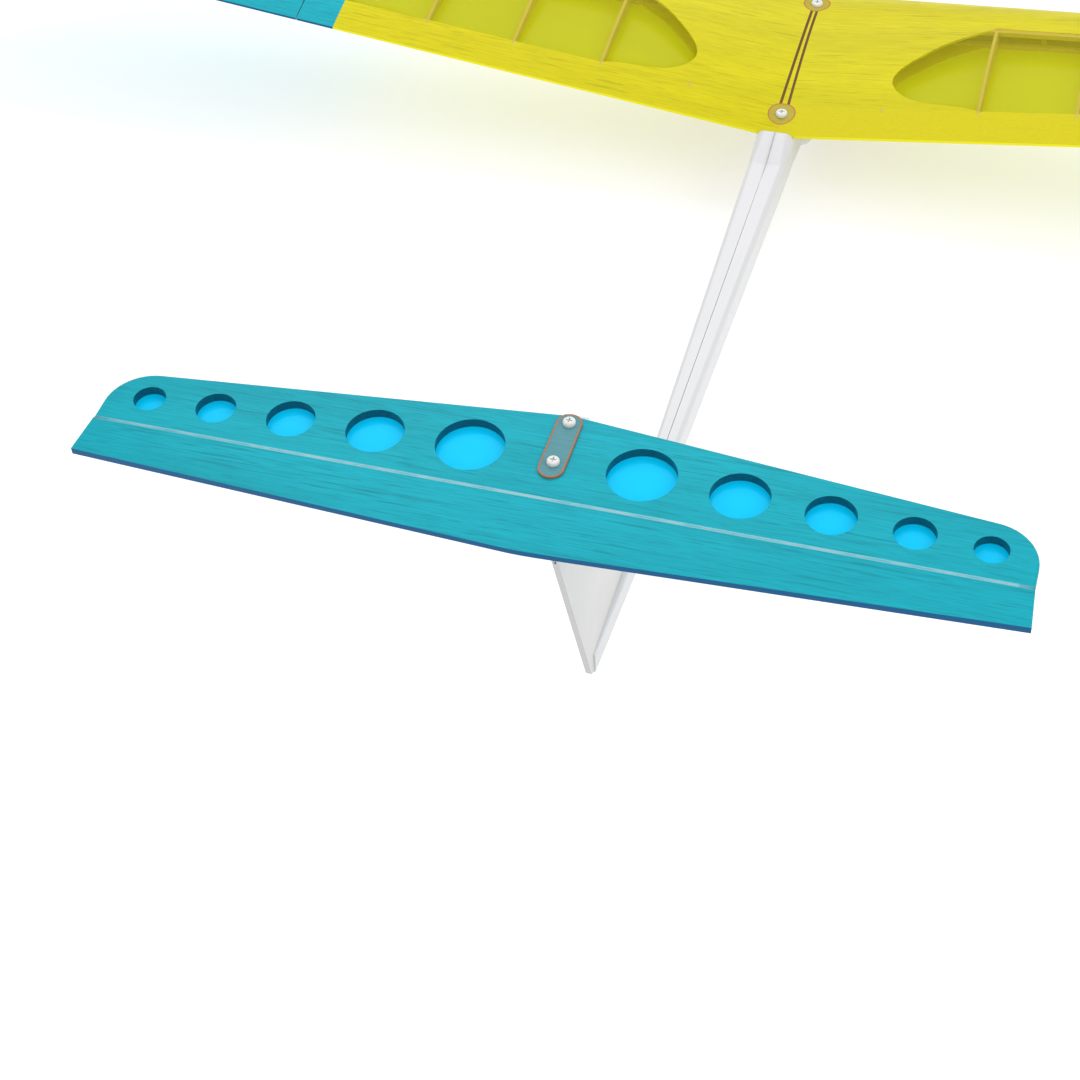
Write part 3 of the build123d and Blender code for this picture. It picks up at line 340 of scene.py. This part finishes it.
def hole_film():
    """Film discs of the tail holes: the upper ones almost clear, the under ones full colour and glowing as
    painted light from the floor, with a painted sheen as a darker triangle on the starboard side.
    """
    base = tuple(colours().hole_cyan)
    finish = Finish("cyan_film_over_holes", roughness=0.16, Specular_IOR_Level=0.2,
                    Specular_Tint=(*CYAN_SHEEN, 1.0))
    x, y, z = finish.axes()
    low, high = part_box("tailplane_covering")
    upper = finish.math("GREATER_THAN", z, (low.z + high.z) / 2)
    # painted sheen: a soft, slightly darker triangle on the starboard hole films
    sheen_reach = finish.math("MULTIPLY_ADD", finish.math("ABSOLUTE", finish.math("SUBTRACT", x, -0.036)), 0.9, y)
    sheen = finish.math("MULTIPLY", finish.ramp(sheen_reach, TAIL_HINGE.y - 0.018, TAIL_HINGE.y - 0.034),
                        finish.ramp(x, 0.01, 0.0))
    tone = finish.mix(finish.math("MULTIPLY", sheen, 0.35), base, (0.0, 0.46, 0.72))
    finish.base(tone)
    # painted light: the under discs glow, standing for the floor's light through them
    finish.join(tone, finish.shader.inputs["Emission Color"])
    finish.join(finish.math("MULTIPLY_ADD", upper, -0.30, 0.30), finish.shader.inputs["Emission Strength"])
    finish.join(finish.math("MULTIPLY_ADD", upper, -0.94, 0.98), finish.shader.inputs["Alpha"])
    finish.material.surface_render_method = "BLENDED"
    return finish.material


def bare_wood(name, base, strength=1.0, tinted=False):
    """Bare wood; inside the wing it takes the colour of the film above it."""
    finish = Finish(name, roughness=0.62)
    tone, streaks = wood_grain(finish, base, strength)
    if tinted:
        x = finish.math("ABSOLUTE", finish.axes()[0])
        outer = finish.math("GREATER_THAN", x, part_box("tip_sheeting_port")[0].x)
        under_yellow = finish.mix(0.80, tone, (0.560, 0.430, 0.010))
        under_cyan = finish.mix(0.80, tone, (0.010, 0.330, 0.430))
        tone = finish.mix(outer, under_yellow, under_cyan)
    finish.base(tone)
    finish.bump(streaks, 0.0001, 0.5)
    return finish.material


def inner_wood():
    """Dark gold spar web: wood in the shade of the sheeting."""
    finish = Finish("shaded_spar_web", roughness=0.65)
    tone, streaks = wood_grain(finish, (0.330, 0.230, 0.008), 0.8)
    finish.base(tone)
    finish.bump(streaks, 0.0001, 0.5)
    return finish.material


def painted(name, base, roughness=0.30):
    """White paint on sanded wood: a faint grain and slight handling marks."""
    finish = Finish(name, Coat_Weight=0.2, Coat_Roughness=0.2)
    streaks = finish.noise((900, 30, 500), detail=3.0)
    cloud = finish.noise((20, 9, 20), detail=3.0)
    tone = finish.mix(finish.ramp(cloud, 0.3, 0.75), darker(base, 0.965), base)
    tone = finish.mix(finish.math("MULTIPLY", finish.ramp(streaks, 0.5, 0.8), 0.25), tone,
                      darker(base, 0.88))
    finish.base(tone)
    finish.bump(streaks, 0.00004, 0.4)
    finish.worn(roughness, 0.05)
    return finish.material


def fin_paint():
    """The fin's paint is warmer, with painted shade in deeper grey on the faces that look rearward."""
    finish = Finish("fin_paint", Coat_Weight=0.15, Coat_Roughness=0.25)
    base = (0.640, 0.630, 0.615)
    cloud = finish.noise((14, 22, 22), detail=4.0)
    fibre = finish.noise((500, 260, 700), detail=3.0)
    tone = finish.mix(finish.ramp(cloud, 0.35, 0.7), darker(base, 0.955), base)
    tone = finish.mix(finish.math("MULTIPLY", finish.ramp(fibre, 0.55, 0.8), 0.2), tone, darker(base, 0.9))
    # painted shade: faces that look rearward are painted a deeper grey
    edge = finish.ramp(finish.facing()[1], 0.5, 0.8)
    finish.base(finish.mix(edge, tone, (0.520, 0.505, 0.500)))
    finish.bump(fibre, 0.00005, 0.4)
    finish.worn(0.42, 0.06)
    return finish.material


def nylon():
    """White nylon, slightly waxy, with moulding cloudiness."""
    finish = Finish("white_nylon", Subsurface_Weight=0.15, Subsurface_Scale=0.001)
    base = tuple(colours().nylon)
    cloud = finish.noise((700, 700, 700), detail=3.0)
    finish.base(finish.mix(finish.ramp(cloud, 0.35, 0.7), darker(base, 0.9), base))
    finish.bump(cloud, 0.00008, 0.4)
    finish.worn(0.38, 0.06, (400, 400, 400))
    return finish.material


def ringed(name, middle_tone, rim_tone, centres, radius, half_run, alpha=1.0):
    """A flat plate or washers with a scorched rim, by distance from their middle line."""
    finish = Finish(name, roughness=0.30, Specular_IOR_Level=0.25, Alpha=alpha)
    x, y, _ = finish.axes()
    nearest = None
    for centre in centres:
        along = finish.math("ABSOLUTE", finish.math("SUBTRACT", y, centre.y))
        past = finish.math("MAXIMUM", finish.math("SUBTRACT", along, half_run), 0.0)
        side = finish.math("SUBTRACT", x, centre.x)
        square = finish.math("ADD", finish.math("MULTIPLY", past, past), finish.math("MULTIPLY", side, side))
        distance = finish.math("SQRT", square)
        nearest = distance if nearest is None else finish.math("MINIMUM", nearest, distance)
    ring = sizes().plate_ring
    rim = finish.ramp(nearest, radius - 1.5 * ring, radius - 1.0 * ring)
    grain = finish.noise((60, 1200, 60), detail=3.0)
    tone = finish.mix(finish.ramp(grain, 0.35, 0.7), middle_tone, darker(middle_tone, 0.88))
    finish.base(finish.mix(rim, tone, rim_tone))
    if alpha < 1.0:
        finish.join(finish.math("MULTIPLY_ADD", rim, 1.0 - alpha, alpha), finish.shader.inputs["Alpha"])
        finish.material.surface_render_method = "BLENDED"
    return finish.material


def root_ply():
    """Root ribs: yellow-stained ply with two brown glue lines and slanted saw marks."""
    finish = Finish("root_rib_ply", roughness=0.45, Specular_IOR_Level=0.15)
    x, y, _ = finish.axes()
    low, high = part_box("root_ribs")
    side = finish.math("ABSOLUTE", x)
    edges = finish.math("ADD", finish.ramp(side, high.x - 1.6 * MM, high.x - 0.9 * MM),
                        finish.ramp(side, 3.2 * MM, 2.5 * MM))
    slant = finish.math("ADD", finish.math("MULTIPLY", x, 900.0), finish.math("MULTIPLY", y, 1500.0))
    marks = finish.ramp(finish.math("SINE", slant), 0.2, 0.9)
    tone = finish.mix(finish.math("MULTIPLY", marks, 0.5), (0.420, 0.310, 0.008), (0.230, 0.110, 0.008))
    finish.base(finish.mix(finish.math("MINIMUM", edges, 1.0), tone, (0.130, 0.055, 0.006)))
    return finish.material


def steel_wire():
    finish = Finish("drawn_steel_wire", Metallic=1.0)
    lines = finish.noise((3000, 40, 40), detail=2.0)
    finish.base(finish.mix(lines, (0.42, 0.42, 0.43), (0.62, 0.62, 0.63)))
    finish.worn(0.28, 0.08, (900, 60, 60))
    return finish.material


def moulded(name, base, roughness=0.42):
    """Moulded plastic with a fine spark-eroded texture."""
    finish = Finish(name)
    pits = finish.noise((2600, 2600, 2600), detail=2.0)
    cloud = finish.noise((60, 60, 60), detail=2.0)
    finish.base(finish.mix(cloud, darker(base, 0.85), base))
    finish.bump(pits, 0.00005, 0.5)
    finish.worn(roughness, 0.06)
    return finish.material


def lead():
    finish = Finish("cast_lead", Metallic=0.8)
    cloud = finish.noise((160, 160, 160), detail=5.0)
    finish.base(finish.mix(cloud, (0.09, 0.09, 0.10), (0.26, 0.26, 0.28)))
    finish.bump(cloud, 0.0003, 0.6)
    finish.worn(0.55, 0.1)
    return finish.material


def flexible_tube():
    finish = Finish("control_tube", roughness=0.4, Subsurface_Weight=0.2, Subsurface_Scale=0.001)
    cloud = finish.noise((300, 30, 300), detail=2.0)
    finish.base(finish.mix(cloud, (0.52, 0.47, 0.36), (0.66, 0.62, 0.52)))
    return finish.material


def dress(material, *names):
    """Give CAD nodes their finish."""
    for name in names:
        slots = NODES[name].data.materials
        slots.clear()
        slots.append(material)


# ======================= meshes =======================
def new_piece(name, verts, faces, material, smooth=False):
    """A mesh object from plain points and faces."""
    mesh = bpy.data.meshes.new(name)
    mesh.from_pydata([tuple(v) for v in verts], [], faces)
    mesh.validate()
    piece = bpy.data.objects.new(name, mesh)
    bpy.context.collection.objects.link(piece)
    mesh.materials.append(material)
    if smooth:
        for polygon in mesh.polygons:
            polygon.use_smooth = True
    return piece


def strip(columns, thickness, up):
    """Points and faces of a thin closed strip: columns of points, given a thickness downwards."""
    verts = []
    across = len(columns[0])
    for column in columns:
        verts += list(column) + [point - up * thickness for point in column]
    faces = []
    ring = 2 * across

    def at(row, index, under):
        return row * ring + (across if under else 0) + index

    for row in range(len(columns) - 1):
        for i in range(across - 1):
            faces.append((at(row, i, 0), at(row + 1, i, 0), at(row + 1, i + 1, 0), at(row, i + 1, 0)))
            faces.append((at(row, i, 1), at(row, i + 1, 1), at(row + 1, i + 1, 1), at(row + 1, i, 1)))
        for i in (0, across - 1):
            faces.append((at(row, i, 0), at(row, i, 1), at(row + 1, i, 1), at(row + 1, i, 0)))
    for row in (0, len(columns) - 1):
        for i in range(across - 1):
            faces.append((at(row, i, 0), at(row, i + 1, 0), at(row, i + 1, 1), at(row, i, 1)))
    return verts, faces


def tidy_normals(piece):
    """Make every face look outwards."""
    made = bmesh.new()
    made.from_mesh(piece.data)
    bmesh.ops.recalc_face_normals(made, faces=made.faces)
    made.to_mesh(piece.data)
    made.free()


def islands(source):
    """The separate solids of a mesh, as lists of vertex indexes."""
    neighbours = [[] for _ in source.vertices]
    for edge in source.edges:
        first, second = edge.vertices
        neighbours[first].append(second)
        neighbours[second].append(first)
    seen = set()
    found = []
    for start in range(len(neighbours)):
        if start in seen:
            continue
        group = []
        queue = [start]
        seen.add(start)
        while queue:
            index = queue.pop()
            group.append(index)
            for other in neighbours[index]:
                if other not in seen:
                    seen.add(other)
                    queue.append(other)
        found.append(group)
    return found


def welded(node):
    """A copy of a CAD node's mesh whose coincident vertices are merged."""
    made = bmesh.new()
    made.from_mesh(NODES[node].data)
    bmesh.ops.remove_doubles(made, verts=made.verts, dist=WELD)
    mesh = bpy.data.meshes.new(node + "_copy")
    made.to_mesh(mesh)
    made.free()
    return mesh


def rib_lines(side):
    """Span positions of the ribs on one side, from the ribs' own solids."""
    mesh = welded("wing_ribs")
    found = []
    for group in islands(mesh):
        xs = [mesh.vertices[i].co.x for i in group]
        ys = [mesh.vertices[i].co.y for i in group]
        if max(ys) - min(ys) > RIB_LENGTH and side * sum(xs) > 0:
            found.append((min(xs) + max(xs)) / 2)
    bpy.data.meshes.remove(mesh)
    return sorted(found, key=abs)


def ease(value):
    """0 to 1, level at both ends."""
    value = min(max(value, 0.0), 1.0)
    return value * value * (3 - 2 * value)


def cut_across(made, place, normal):
    """Add a line of vertices where a plane crosses the mesh."""
    everything = made.verts[:] + made.edges[:] + made.faces[:]
    bmesh.ops.bisect_plane(made, geom=everything, plane_co=place, plane_no=normal, dist=0.01 * MM)


def sagging_films(node, side, name, materials):
    """The films of one panel's open bays, upper and under, sunk a little between the ribs."""
    mesh = welded(node)
    groups = sorted(islands(mesh), key=lambda g: sum(mesh.vertices[i].co.z for i in g) / len(g))
    ribs = rib_lines(side)
    pieces = []
    for group, which, material, inward in zip(groups, ("under", "upper"), materials, (1, -1)):
        keep = set(group)
        made = bmesh.new()
        made.from_mesh(mesh)
        made.verts.ensure_lookup_table()
        bmesh.ops.delete(made, geom=[v for v in made.verts if v.index not in keep], context="VERTS")
        xs = [v.co.x for v in made.verts]
        low, high = min(xs), max(xs)
        cell = sizes().film_cell
        cuts = [low + cell * n for n in range(1, int((high - low) / cell) + 1)]
        for x in cuts:
            cut_across(made, (x, 0, 0), (1, 0, 0))
        ys = [v.co.y for v in made.verts]
        front_most = min(ys)
        rows = int((max(ys) - front_most) / (2 * cell))
        for n in range(1, rows + 1):
            cut_across(made, (0, front_most + 2 * cell * n, 0), (0, 1, 0))
        spans = {}
        for v in made.verts:
            key = round((v.co.x - low) / cell)
            reach = spans.setdefault(key, [v.co.y, v.co.y])
            reach[0] = min(reach[0], v.co.y)
            reach[1] = max(reach[1], v.co.y)
        edge = sizes().sag_edge
        for v in made.verts:
            near = [x for x in ribs if abs(x) <= abs(v.co.x)]
            beyond = [x for x in ribs if abs(x) > abs(v.co.x)]
            if not near or not beyond:
                continue
            share = (v.co.x - near[-1]) / (beyond[0] - near[-1])
            front, rear = spans[round((v.co.x - low) / cell)]
            chordwise = ease((v.co.y - front) / edge) * ease((rear - v.co.y) / edge)
            v.co.z += inward * sizes().bay_sag * 4 * share * (1 - share) * chordwise
        data = bpy.data.meshes.new(f"{name}_{which}")
        made.to_mesh(data)
        made.free()
        piece = bpy.data.objects.new(f"{name}_{which}", data)
        bpy.context.collection.objects.link(piece)
        data.materials.append(material)
        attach(piece, "airframe")
        pieces.append(piece)
    bpy.data.meshes.remove(mesh)
    return pieces


# ======================= operators =======================
class GLIDER_OT_wing_finish(bpy.types.Operator):
    """Film and wood finishes of both wing halves"""
    bl_idname = "glider.wing_finish"
    bl_label = "Wing finish"

    def execute(self, context):
        shown = colours()
        film = yellow_film()
        strip_film = yellow_strip_film()
        cyan = cyan_film()
        for word, _ in SIDES:
            dress(film, f"upper_sheeting_{word}", f"under_sheeting_{word}", f"leading_edge_{word}")
            dress(strip_film, f"trailing_edge_{word}")
            dress(cyan, f"tip_sheeting_{word}", f"tip_leading_edge_{word}", f"tip_trailing_edge_{word}",
                  f"tip_block_{word}", f"aileron_{word}")
        dress(bare_wood("ribs_under_film", tuple(shown.balsa), tinted=True), "wing_ribs")
        dress(bare_wood("spar_caps_under_film", tuple(shown.spruce), tinted=True), "spar_caps")
        dress(inner_wood(), "spar_webs")
        dress(root_ply(), "root_ribs")
        dress(bare_wood("aileron_servo_ply", tuple(shown.ply)), "aileron_servo_trays")
        return {"FINISHED"}


class GLIDER_OT_bay_films(bpy.types.Operator):
    """See-through films over the open bays of the wing"""
    bl_idname = "glider.bay_films"
    bl_label = "Bay films"

    def execute(self, context):
        bright = tuple(colours().yellow)
        under = tuple(colours().bay_yellow)
        # the under films glow a little: painted light standing for the floor's light through them
        yellow = (clear_film("yellow_bay_film_under", under, 0.97, YELLOW_SHEEN, 0.30),
                  clear_film("yellow_bay_film_upper", bright, 0.20, YELLOW_SHEEN))
        deep = tuple(colours().cyan)
        cyan = (clear_film("cyan_bay_film_under", deep, 0.95, CYAN_SHEEN, 0.20),
                clear_film("cyan_bay_film_upper", deep, 0.30, CYAN_SHEEN))
        for word, side in SIDES:
            for piece in sagging_films(f"covering_{word}", side, f"bay_film_{word}", yellow):
                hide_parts(f"covering_{word}")
            for piece in sagging_films(f"tip_covering_{word}", side, f"tip_bay_film_{word}", cyan):
                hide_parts(f"tip_covering_{word}")
        return {"FINISHED"}


class GLIDER_OT_tail_finish(bpy.types.Operator):
    """Film, hole films, clamp plate and fin finishes of the tail"""
    bl_idname = "glider.tail_finish"
    bl_label = "Tail finish"

    def execute(self, context):
        dress(tailplane_film(), "tailplane")
        dress(cyan_film("cyan_film_on_elevator"), "elevator")
        dress(hole_film(), "tailplane_covering")
        low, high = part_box("tail_clamp_plate")
        middle = (Vector(low) + Vector(high)) / 2
        radius = (high[0] - low[0]) / 2
        half_run = (high[1] - low[1]) / 2 - radius
        dress(ringed("clear_clamp_plate", (0.17, 0.47, 0.53), tuple(colours().scorch), [middle], radius,
                     half_run, 0.55), "tail_clamp_plate")
        dress(fin_paint(), "fin")
        dress(painted("tail_block_paint", tuple(colours().white)), "tail_mount_block")
        return {"FINISHED"}


class GLIDER_OT_fuselage_finish(bpy.types.Operator):
    """Paint and bare wood of the fuselage"""
    bl_idname = "glider.fuselage_finish"
    bl_label = "Fuselage finish"

    def execute(self, context):
        paint = painted("white_fuselage_paint", tuple(colours().white))
        dress(paint, "fuselage_port", "fuselage_starboard", "nose_block", "hatch")
        dress(bare_wood("former_balsa", tuple(colours().balsa)), "formers")
        dress(bare_wood("bolt_plate_ply", tuple(colours().ply)), "wing_bolt_plates", "servo_tray")
        return {"FINISHED"}


class GLIDER_OT_hardware_finish(bpy.types.Operator):
    """Screws, washers, horns, wires and equipment"""
    bl_idname = "glider.hardware_finish"
    bl_label = "Hardware finish"

    def execute(self, context):
        white = nylon()
        dress(white, "wing_bolts", "tail_bolts", "elevator_horn", "elevator_servo_arm")
        wire = steel_wire()
        dress(wire, "elevator_front_rod", "elevator_rear_rod")
        for word, _ in SIDES:
            dress(white, f"aileron_horn_{word}", f"aileron_servo_arm_{word}")
            dress(wire, f"aileron_rod_{word}")
        low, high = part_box("wing_washers")
        radius = (high[0] - low[0]) / 2
        centres = [Vector((0, low[1] + radius, 0)), Vector((0, high[1] - radius, 0))]
        dress(ringed("lacquered_washers", (0.440, 0.360, 0.008), (0.460, 0.130, 0.004), centres, radius, 0.0),
              "wing_washers")
        dress(flexible_tube(), "elevator_guide_tube")
        dress(moulded("servo_case", (0.020, 0.022, 0.028)), "elevator_servo", "aileron_servos", "receiver")
        dress(moulded("battery_wrap", (0.020, 0.055, 0.190), 0.25), "battery")
        dress(lead(), "nose_weight")
        return {"FINISHED"}


class GLIDER_OT_hinge_strips(bpy.types.Operator):
    """Film hinges of the elevator and the ailerons"""
    bl_idname = "glider.hinge_strips"
    bl_label = "Hinge strips"

    def execute(self, context):
        tail = self.tail_material()
        low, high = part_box("tailplane")
        inset = 0.5 * MM
        start = Vector((low[0] + inset, TAIL_HINGE.y, TAIL_HINGE.z))
        end = Vector((high[0] - inset, TAIL_HINGE.y, TAIL_HINGE.z))
        self.strip_between("elevator_hinge_film", start, end, Vector((0, 1, 0)), Vector((0, 0, 1)),
                           tail, "elevator", "cyan_film")
        cyan = cyan_film("cyan_hinge_film")
        for word, side in SIDES:
            joint = JOINTS[f"aileron_hinge_{word}"]
            axis = Vector(joint["axis"]).normalized() * side
            first = Vector(joint["pos_m"])
            low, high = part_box(f"aileron_{word}")
            length = (high[0] - low[0]) / abs(axis.x) - 2 * MM
            back = Vector((0, 1, 0))
            back = (back - axis * back.dot(axis)).normalized()
            up = axis.cross(back).normalized()
            if up.z < 0:
                up = -up
            self.strip_between(f"aileron_hinge_film_{word}", first + axis * 1.5 * MM, first + axis * length,
                               back, up, cyan, f"aileron_{word}", "cyan_film")
        return {"FINISHED"}

    def tail_material(self):
        """Greyish crease where the film folds, paler where it catches the light."""
        finish = Finish("tail_hinge_crease", roughness=0.25, Coat_Weight=0.5, Coat_Roughness=0.1)
        x, y, _ = finish.axes()
        offset = finish.math("ABSOLUTE", finish.math("SUBTRACT", y, TAIL_HINGE.y))
        crease = finish.ramp(offset, 0.55 * MM, 0.30 * MM)
        patches = finish.noise((60, 10, 10), detail=3.0)
        pale = finish.mix(finish.ramp(patches, 0.35, 0.65), (0.005, 0.230, 0.310), (0.210, 0.340, 0.380))
        finish.base(finish.mix(crease, tuple(colours().cyan), pale))
        return finish.material

    def strip_between(self, name, start, end, back, up, material, body, slot):
        """One hinge strip along a line, arched across its width."""
        width = sizes().hinge_width
        rise = sizes().hinge_film
        columns = []
        for row in range(HINGE_ROWS + 1):
            middle = start.lerp(end, row / HINGE_ROWS)
            column = []
            for i in range(HINGE_COLUMNS):
                share = 2 * i / (HINGE_COLUMNS - 1) - 1
                crown = rise * (0.45 + 0.55 * math.cos(share * math.pi / 2))
                column.append(middle + back * (share * width / 2) + up * crown)
            columns.append(column)
        verts, faces = strip(columns, HINGE_SKIN, up)
        piece = new_piece(name, verts, faces, material, smooth=True)
        tidy_normals(piece)
        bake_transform(piece)


class GLIDER_OT_fuselage_seam(bpy.types.Operator):
    """Filler in the seam along the fuselage"""
    bl_idname = "glider.fuselage_seam"
    bl_label = "Fuselage seam"

    def execute(self, context):
        finish = Finish("seam_filler", roughness=0.6)
        specks = finish.noise((400, 60, 400), detail=4.0)
        finish.base(finish.mix(specks, (0.42, 0.38, 0.34), (0.60, 0.57, 0.54)))
        self.line("fuselage_seam_top", self.heights(1), finish.material)
        self.line("fuselage_seam_bottom", self.heights(-1), finish.material)
        return {"FINISHED"}

    def heights(self, sign):
        """(y, z) along the shell's upper or under edge beside the seam."""
        mesh = NODES["fuselage_port"].data
        inner = min(v.co.x for v in mesh.vertices) + 0.01 * MM
        best = {}
        for v in mesh.vertices:
            if v.co.x > inner:
                continue
            key = round(v.co.y, 5)
            if key not in best or sign * v.co.z > sign * best[key]:
                best[key] = v.co.z
        return sorted(best.items())

    def line(self, name, points, material):
        """A thin filler strip that follows the edge a little under the skin."""
        inward = -1 if name.endswith("top") else 1
        columns = []
        for y, z in self.boom_part(points):
            height = z + inward * sizes().seam_depth
            columns.append([Vector((x, y, height)) for x in (-SEAM_HALF_WIDTH, 0, SEAM_HALF_WIDTH)])
        verts, faces = strip(columns, SEAM_FILLER, Vector((0, 0, -inward)))
        piece = new_piece(f"{name}_1", verts, faces, material)
        tidy_normals(piece)
        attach(piece, "airframe")

    def boom_part(self, points):
        """Only the boom's stretch: behind the wing and ahead of the fin's foot."""
        wing_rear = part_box("trailing_edge_port")[1][1]
        fin_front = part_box("fin")[0][1]
        return [(y, z) for y, z in points if wing_rear - 2 * MM < y < fin_front]


class GLIDER_OT_stage(bpy.types.Operator):
    """Floor, lights and camera"""
    bl_idname = "glider.stage"
    bl_label = "Stage"

    def execute(self, context):
        scene = context.scene
        self.floor()
        self.lights(scene)
        self.camera(scene)
        return {"FINISHED"}

    def floor(self):
        verts = []
        places = [FLOOR_REACH * (2 * step / FLOOR_CELLS - 1) for step in range(FLOOR_CELLS + 1)]
        for y in places:
            verts += [(x, y, 0.0) for x in places]
        across = FLOOR_CELLS + 1
        faces = []
        for row in range(FLOOR_CELLS):
            for first in range(row * across, row * across + FLOOR_CELLS):
                faces.append((first, first + 1, first + across + 1, first + across))
        finish = Finish("pale_floor", roughness=0.85, Specular_IOR_Level=0.1)
        cloud = finish.noise((2, 2, 2), detail=3.0)
        base = tuple(colours().floor)
        finish.base(finish.mix(cloud, darker(base, 0.99), base))
        finish.shader.inputs["Emission Color"].default_value = (1.0, 1.0, 1.0, 1.0)
        finish.shader.inputs["Emission Strength"].default_value = 0.50
        floor = new_piece("floor", verts, faces, finish.material)
        floor.location.z = -0.0004

    def lights(self, scene):
        world = bpy.data.worlds.new("soft_room")
        world.use_nodes = True
        sky = world.node_tree.nodes["Background"]
        sky.inputs["Color"].default_value = (1.0, 1.0, 1.0, 1.0)
        sky.inputs["Strength"].default_value = 0.90
        scene.world = world
        for name, place, span, power in (("front_softbox", (0.5, -1.6, 2.2), 1.8, 22.0),
                                         ("side_softbox", (-1.9, 0.4, 1.6), 1.4, 9.0)):
            lamp = bpy.data.lights.new(name, "AREA")
            lamp.shape = "SQUARE"
            lamp.size = span
            lamp.energy = power
            holder = bpy.data.objects.new(name, lamp)
            holder.location = place
            holder.rotation_euler = Vector(place).to_track_quat("Z", "Y").to_euler()
            scene.collection.objects.link(holder)
        scene.view_settings.view_transform = "Standard"

    def camera(self, scene):
        kept = scene.glider_camera
        data = bpy.data.cameras.new("studio_camera")
        data.lens = kept.lens
        data.sensor_width = 36.0
        data.clip_start = 0.01
        data.clip_end = 100.0
        holder = bpy.data.objects.new("studio_camera", data)
        holder.matrix_world = Matrix.Translation(kept.place) @ Euler(kept.turn, "XYZ").to_matrix().to_4x4()
        scene.collection.objects.link(holder)
        scene.camera = holder


OPERATORS = (GLIDER_OT_wing_finish, GLIDER_OT_bay_films, GLIDER_OT_tail_finish,
             GLIDER_OT_fuselage_finish, GLIDER_OT_hardware_finish, GLIDER_OT_hinge_strips,
             GLIDER_OT_fuselage_seam, GLIDER_OT_stage)


class GLIDER_PT_panel(bpy.types.Panel):
    """Lists the glider's pieces, sizes and colours"""
    bl_label = "Glider"
    bl_idname = "GLIDER_PT_panel"
    bl_space_type = "VIEW_3D"
    bl_region_type = "UI"
    bl_category = "Glider"

    def draw(self, context):
        for operator in OPERATORS:
            self.layout.operator(operator.bl_idname)
        for group in (context.scene.glider_sizes, context.scene.glider_colours, context.scene.glider_camera):
            box = self.layout.box()
            for name in group.__annotations__:
                box.prop(group, name)


CLASSES = (GliderSizes, GliderColours, GliderCamera, *OPERATORS, GLIDER_PT_panel)


def register():
    for kind in CLASSES:
        bpy.utils.register_class(kind)
    bpy.types.Scene.glider_sizes = PointerProperty(type=GliderSizes)
    bpy.types.Scene.glider_colours = PointerProperty(type=GliderColours)
    bpy.types.Scene.glider_camera = PointerProperty(type=GliderCamera)


def unregister():
    del bpy.types.Scene.glider_camera
    del bpy.types.Scene.glider_colours
    del bpy.types.Scene.glider_sizes
    for kind in reversed(CLASSES):
        bpy.utils.unregister_class(kind)


def main():
    """Register everything and make every piece."""
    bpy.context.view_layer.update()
    register()
    for operator in OPERATORS:
        group, name = operator.bl_idname.split(".")
        getattr(getattr(bpy.ops, group), name)()


if __name__ == "__main__":
    main()
